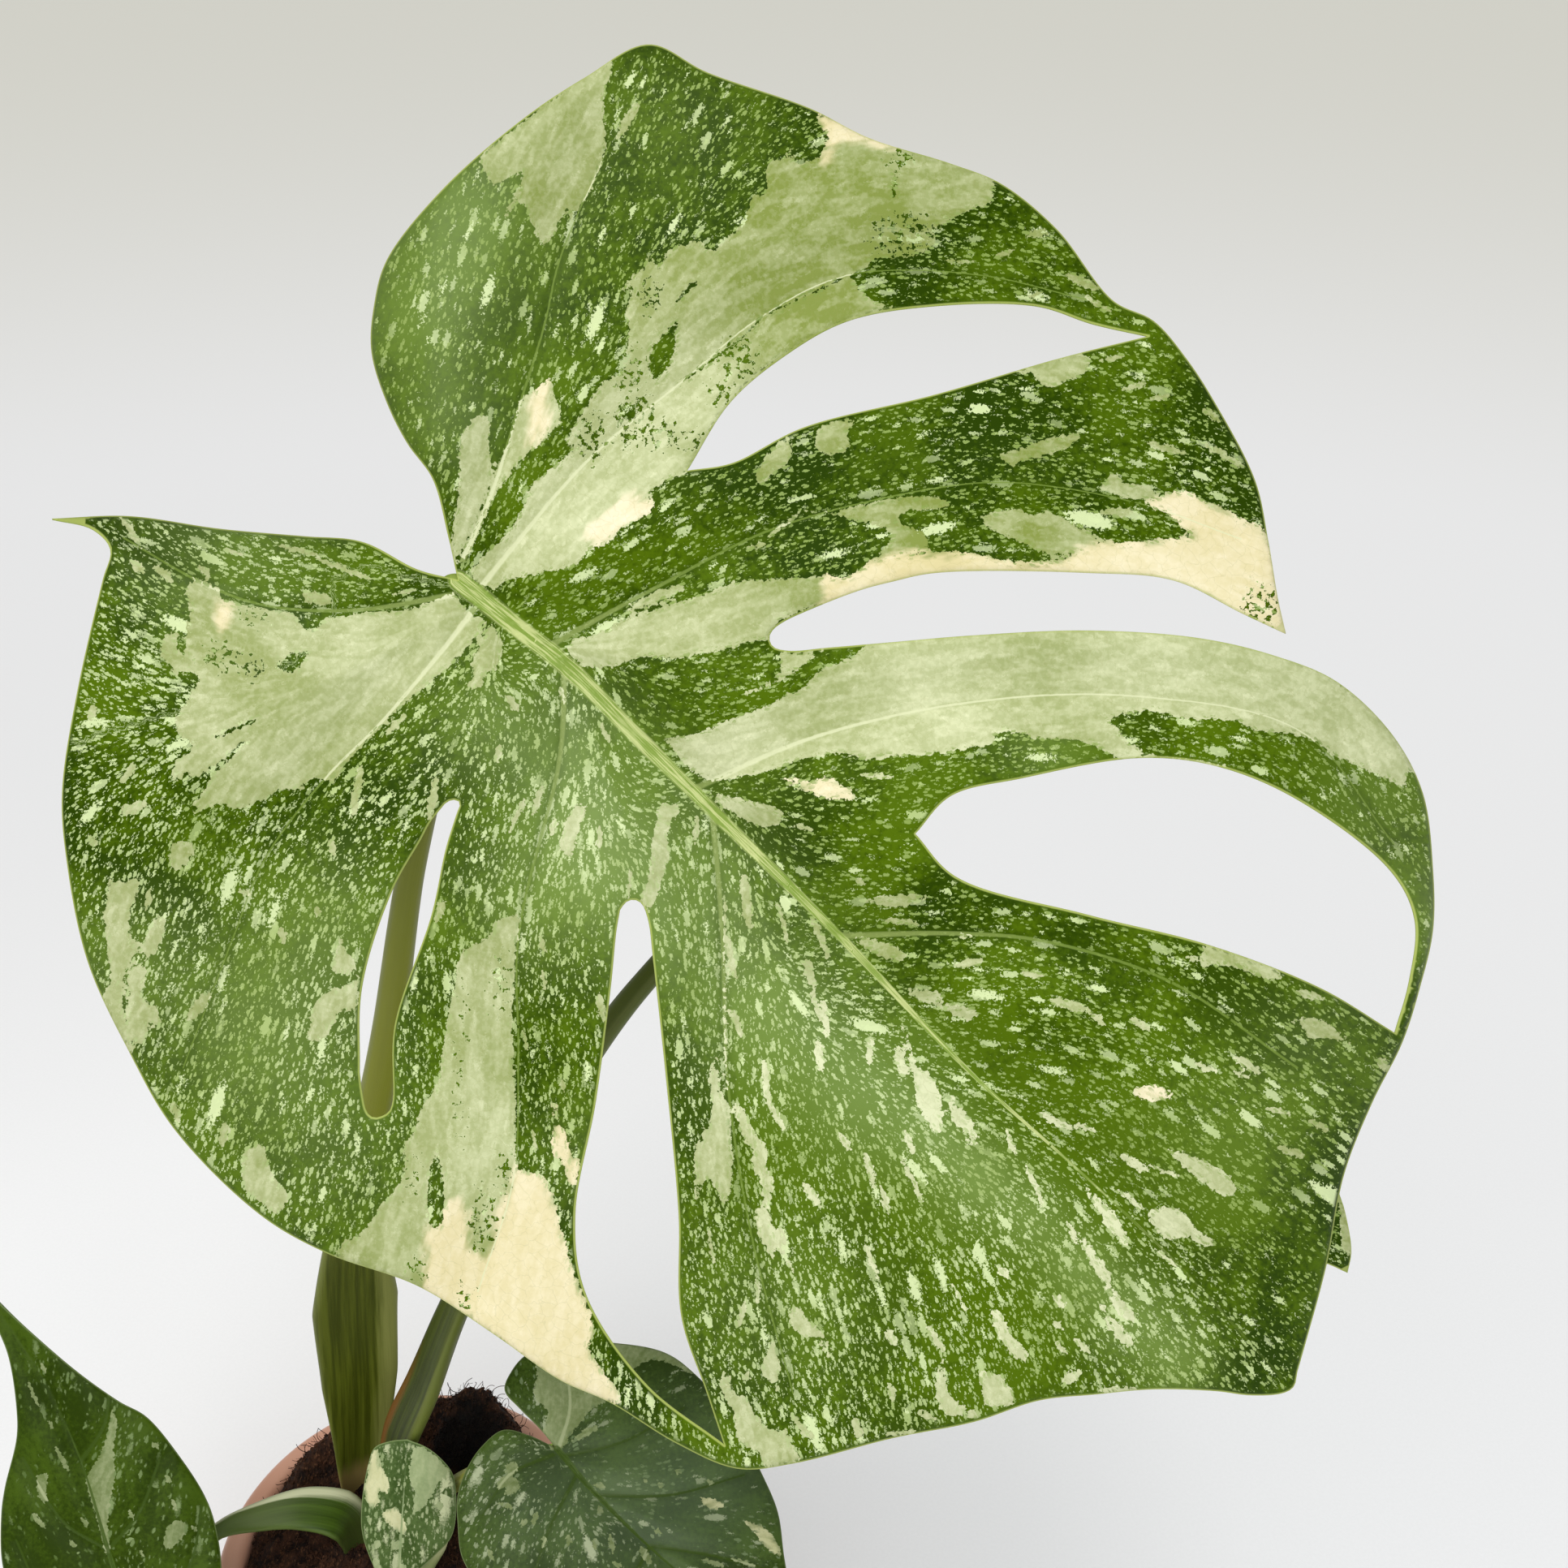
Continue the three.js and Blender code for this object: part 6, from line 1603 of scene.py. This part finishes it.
split_leaf = leaf_material("split_leaf", 0.42, 0.03, SPLIT_LOOK)
split_leaf_back = leaf_material(
    "split_leaf_back", 0.6, 0.2,
    dict(SPLIT_LOOK, deep="#56702e", light="#718a42", pale="#c0c898", pale_dark="#a8b47c", flecks=0.6))
young_leaf = leaf_material("young_leaf", 0.45, 0.07, YOUNG_LOOK)
heart_leaf = leaf_material("heart_leaf", 0.45, 0.07, HEART_LOOK)
young_leaf_back = leaf_material(
    "young_leaf_back", 0.6, 0.2,
    dict(YOUNG_LOOK, deep="#516b34", light="#688446"))
marbled_leaf = leaf_material("marbled_leaf", 0.5, 0.12, MARBLED_LOOK)
olive_stem = stem_material("olive_stem", dict(
    deep="#3e4608", light="#5c6518", edge="#757c36", stripe="#868a48", upper="#8e922a", foot="#9a8452",
    top="#9db150", stripe_from=0.35, soft=0.5))
sheathed_stem = stem_material("sheathed_stem", dict(
    deep="#323c04", light="#4b5712", edge="#606c2a", stripe="#666e2e", upper="#4c5616", foot="#9a8452",
    top="#6f8248", dry="#7c5424", stripe_from=0.6, soft=0.4))
striped_stem = stem_material("striped_stem", dict(
    deep="#2b3e06", light="#435a16", edge="#5f7038", stripe="#c4c6a0", upper="#56662c", foot="#4d5a28",
    top="#6f8248", stripe_from=0.45, soft=0.3))
cream_sheath = stem_material("cream_sheath", dict(
    deep="#55752c", light="#7d9a4a", edge="#cfd49c", stripe="#e6e4b4", upper="#e0deac", foot="#8a9a5c",
    top="#ece8c0", stripe_from=0.5, soft=0.2))
coir_moist = coir_material("coir_moist", "#150a06", "#3c2314", "#6d4a30")
coir_crumb = coir_material("coir_crumb", "#20110a", "#4c2e1c", "#7e5a40")
pot_satin = pot_material()
stem_tan = bark_material()


# Marks of the smaller leaves

LEFT_MARKS = dict(
    pale=dict(
        streak="140,1734 145,1755 141,1785 142,1820 137,1851 134,1880 136,1913 131,1916 126,1895 "
               "115,1857 107,1828 110,1815 124,1795 134,1765",
        patch="210,1877 218,1874 228,1876 228,1888 222,1898 208,1908 202,1904 204,1890",
        side="47,1818 57,1815 60,1826 57,1836 61,1850 53,1851 46,1838"),
    streaks="35,1704,48,1733,4 69,1784,84,1812,5 41,1865,56,1883,6 86,1899,93,1906,6 188,1777,194,1784,6 "
            "206,1819,210,1828,6 212,1848,217,1860,5 236,1881,242,1886,5 174,1911,178,1918,4 "
            "52,1680,57,1692,5 60,1750,64,1760,3 160,1860,165,1872,5 100,1870,108,1880,5")
RIGHT_MARKS = dict(
    pale=dict(
        sector="661,1685 665,1660 700,1645 760,1652 800,1656 835,1668 862,1690 853,1694 835,1685 "
               "812,1677 790,1681 770,1700 748,1726 736,1733 720,1749 706,1766 692,1786 680,1786 "
               "669,1769 673,1752 675,1738 663,1727 658,1713 662,1696",
        blotch="624,1803 636,1803 638,1812 632,1820 640,1826 640,1836 631,1843 622,1842 625,1835 "
               "612,1834 614,1826 622,1816"),
    cream=dict(
        streak_a="863,1846 878,1848 890,1853 891,1859 880,1860 868,1856",
        streak_b="916,1875 930,1878 942,1884 953,1895 960,1908 961,1918 950,1912 940,1902 930,1890"),
    painted_sheen="650,1860,90,30 760,1840,110,32 860,1780,90,25 800,1910,90,20 900,1850,80,30",
    streaks="617,1853,632,1859,6 662,1865,657,1878,7 648,1872,643,1882,6 672,1893,668,1907,6 "
            "702,1893,700,1905,7 734,1895,733,1910,6 751,1892,756,1915,6 737,1858,740,1866,9 "
            "733,1830,745,1832,8 813,1829,818,1832,8 833,1812,838,1815,7 872,1825,878,1829,6 "
            "794,1824,797,1826,6 808,1886,814,1888,7 789,1908,801,1927,9 902,1921,933,1931,6 "
            "866,1923,890,1930,6 756,1926,765,1931,6 708,1775,736,1758,8 602,1910,608,1922,6")
SMALL_MARKS = dict(
    pale=dict(
        patch="510,1783 520,1783 531,1790 546,1803 554,1813 548,1821 541,1826 533,1841 523,1854 "
              "513,1862 510,1849 513,1839 506,1824 505,1808 508,1793"),
    cream=dict(
        stripe="457,1793 467,1785 469,1798 474,1813 480,1829 477,1839 469,1836 467,1852 459,1857 "
               "451,1844 449,1829 454,1819 454,1806",
        blotch="472,1862 487,1857 495,1867 502,1885 497,1890 485,1882 474,1872"),
    streaks="540,1850,542,1858,11 485,1900,490,1906,14 467,1898,464,1906,9 462,1921,467,1933,9 "
            "495,1926,500,1936,8 455,1868,457,1878,5")
SECOND_MARKS = dict(
    pale=dict(
        sector="905,1150 960,1165 1060,1190 1180,1215 1300,1245 1290,1275 1180,1262 1060,1240 960,1200",
        fan="960,1400 1010,1450 1040,1560 1050,1640 1000,1630 960,1540 940,1450",
        tip="1646,1440 1690,1440 1690,1545 1672,1552 1655,1540 1650,1500"),
    cream=dict(fan="990,1480 1020,1540 1030,1620 1005,1620 975,1540"))
MAIN_MARKS = dict(pale=MAIN_PALE, cream=MAIN_CREAM, dark=MAIN_DARK, streaks=MAIN_STREAKS,
                  dark_streaks=MAIN_DARK_STREAKS, mottle=MAIN_MOTTLE, tone=MAIN_TONE_LIGHT_AND_SHADE, painted_sheen=MAIN_PAINTED_SHEEN)


# The plant

def keep(piece, node):
    """Puts a finished piece in a node's place."""
    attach(piece, "root")
    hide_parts(node)


for name, leaf, marks, materials, stem, stem_finish, leaf_slot, stem_slot in (
        ("main", MAIN_LEAF, MAIN_MARKS, [split_leaf, split_leaf_back], MAIN_STEM, olive_stem,
         "variegated_leaf", "leaf_stem"),
        ("second", SECOND_LEAF, SECOND_MARKS, [split_leaf, split_leaf_back], SECOND_STEM, sheathed_stem,
         "variegated_leaf", "leaf_stem"),
        ("left", LEFT_LEAF, LEFT_MARKS, [young_leaf, young_leaf_back], LEFT_STEM, striped_stem,
         "young_leaf", "striped_stem"),
        ("right", RIGHT_LEAF, RIGHT_MARKS, [heart_leaf, young_leaf_back], RIGHT_STEM, olive_stem,
         "young_leaf", "leaf_stem"),
        ("small", SMALL_LEAF, SMALL_MARKS, [marbled_leaf, marbled_leaf], SMALL_STEM, olive_stem,
         "marbled_leaf", "leaf_stem")):
    prepare(leaf, marks)
    keep(blade(f"blade_{name}", leaf, materials), f"leaf_{name}")
    keep(stem_piece(f"stalk_{name}", stem, stem_finish, leaf), f"petiole_{name}")

keep(stem_piece("young_shoot", YOUNG_SHEATH, cream_sheath), "sheath_young")
coir = coir_piece(coir_moist)
keep(coir, "soil")
crumbs = scatter("coir_crumbs", coir, coir_crumb, build_crumbs,
                 {"Per square metre": 230000.0, "Grain radius": 0.9 * MM, "Seed": 3})
fibres = scatter("coir_fibres", coir, coir_crumb, build_fibres,
                 {"Per square metre": 260000.0, "Hair length": 4 * MM, "Hair radius": 0.09 * MM, "Seed": 8})
for piece in (crumbs, fibres):
    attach(piece, "root")
keep(pot_piece(pot_satin), "pot")
for material_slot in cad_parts["stem"].material_slots:
    material_slot.material = stem_tan


# Stage: floor, light and camera

def add_floor():
    """A pale floor without end. It is a little greyer and warmer far from the plant, and painted whiter near
    it as light over the plant's shadow.
    """
    material, w, surface = new_material("floor_pale", 0.9, 0.0, 0.2)
    position = w.place()
    nearness = w.math("DIVIDE", 1.0, w.math("MAXIMUM", w.vector("LENGTH", position)[1], 0.2))
    paper = w.noise(position, 900.0, 2.0, 0.5)
    tone = w.mix(w.step(nearness, 0.1, 0.75), colour("#d6d5cb"), colour("#eaeaea"))
    # Painted light: whiter near the plant, which lightens the shadow that the plant casts on the floor
    tone = w.mix(w.step(nearness, 0.9, 3.2), tone, colour("#f7f7f7"))
    tone = w.mix(w.step(paper, 0.3, 0.7, 0.0, 0.06), tone, colour("#d0d0d0"))
    w.put(surface.inputs["Base Color"], tone)
    angles = np.linspace(0, 2 * math.pi, 48, endpoint=False)
    points = [[math.cos(a) * FLOOR_RADIUS, math.sin(a) * FLOOR_RADIUS, 0] for a in angles]
    mesh_object("floor", points, [range(len(points))], [material], smooth=False)


def add_light(name, kind, place, target, energy, tint):
    """A light that faces its target."""
    light = bpy.data.lights.new(name, kind)
    light.energy = energy
    light.color = tint
    holder = bpy.data.objects.new(name, light)
    holder.location = place
    holder.rotation_euler = (Vector(target) - Vector(place)).to_track_quat("-Z", "Y").to_euler()
    bpy.context.scene.collection.objects.link(holder)
    return light


def add_lights():
    """An even light from far above with soft shadows, and a cool window at the right."""
    overhead = add_light("overhead", "SUN", (-0.25, -0.42, 0.87), (0, 0, 0), 2.2, (1, 0.99, 0.97))
    overhead.angle = math.radians(60)
    window = add_light("window", "AREA", (0.75, -1.2, 1.15), (0.06, 0, 0.35), 4.5, (0.88, 0.94, 1))
    window.shape = "SQUARE"
    window.size = 0.8


def add_world():
    """A dim, faintly blue light from all sides."""
    world = bpy.data.worlds.new("studio")
    world.use_nodes = True
    background = world.node_tree.nodes["Background"]
    background.inputs["Color"].default_value = (0.95, 0.97, 1, 1)
    background.inputs["Strength"].default_value = 0.37
    bpy.context.scene.world = world


def add_camera():
    """The camera at the photo's eye."""
    camera = bpy.data.cameras.new("camera")
    camera.sensor_width = SENSOR
    camera.lens = SENSOR * FOCAL_PIXELS / PHOTO_PIXELS
    camera.clip_start, camera.clip_end = 0.01, 100
    holder = bpy.data.objects.new("camera", camera)
    holder.location = EYE * MM
    holder.rotation_euler = (math.pi / 2 - GAZE_DOWN, 0, 0)
    bpy.context.scene.collection.objects.link(holder)
    bpy.context.scene.camera = holder


add_floor()
add_world()
add_lights()
add_camera()
bpy.context.scene.view_settings.view_transform = "Standard"
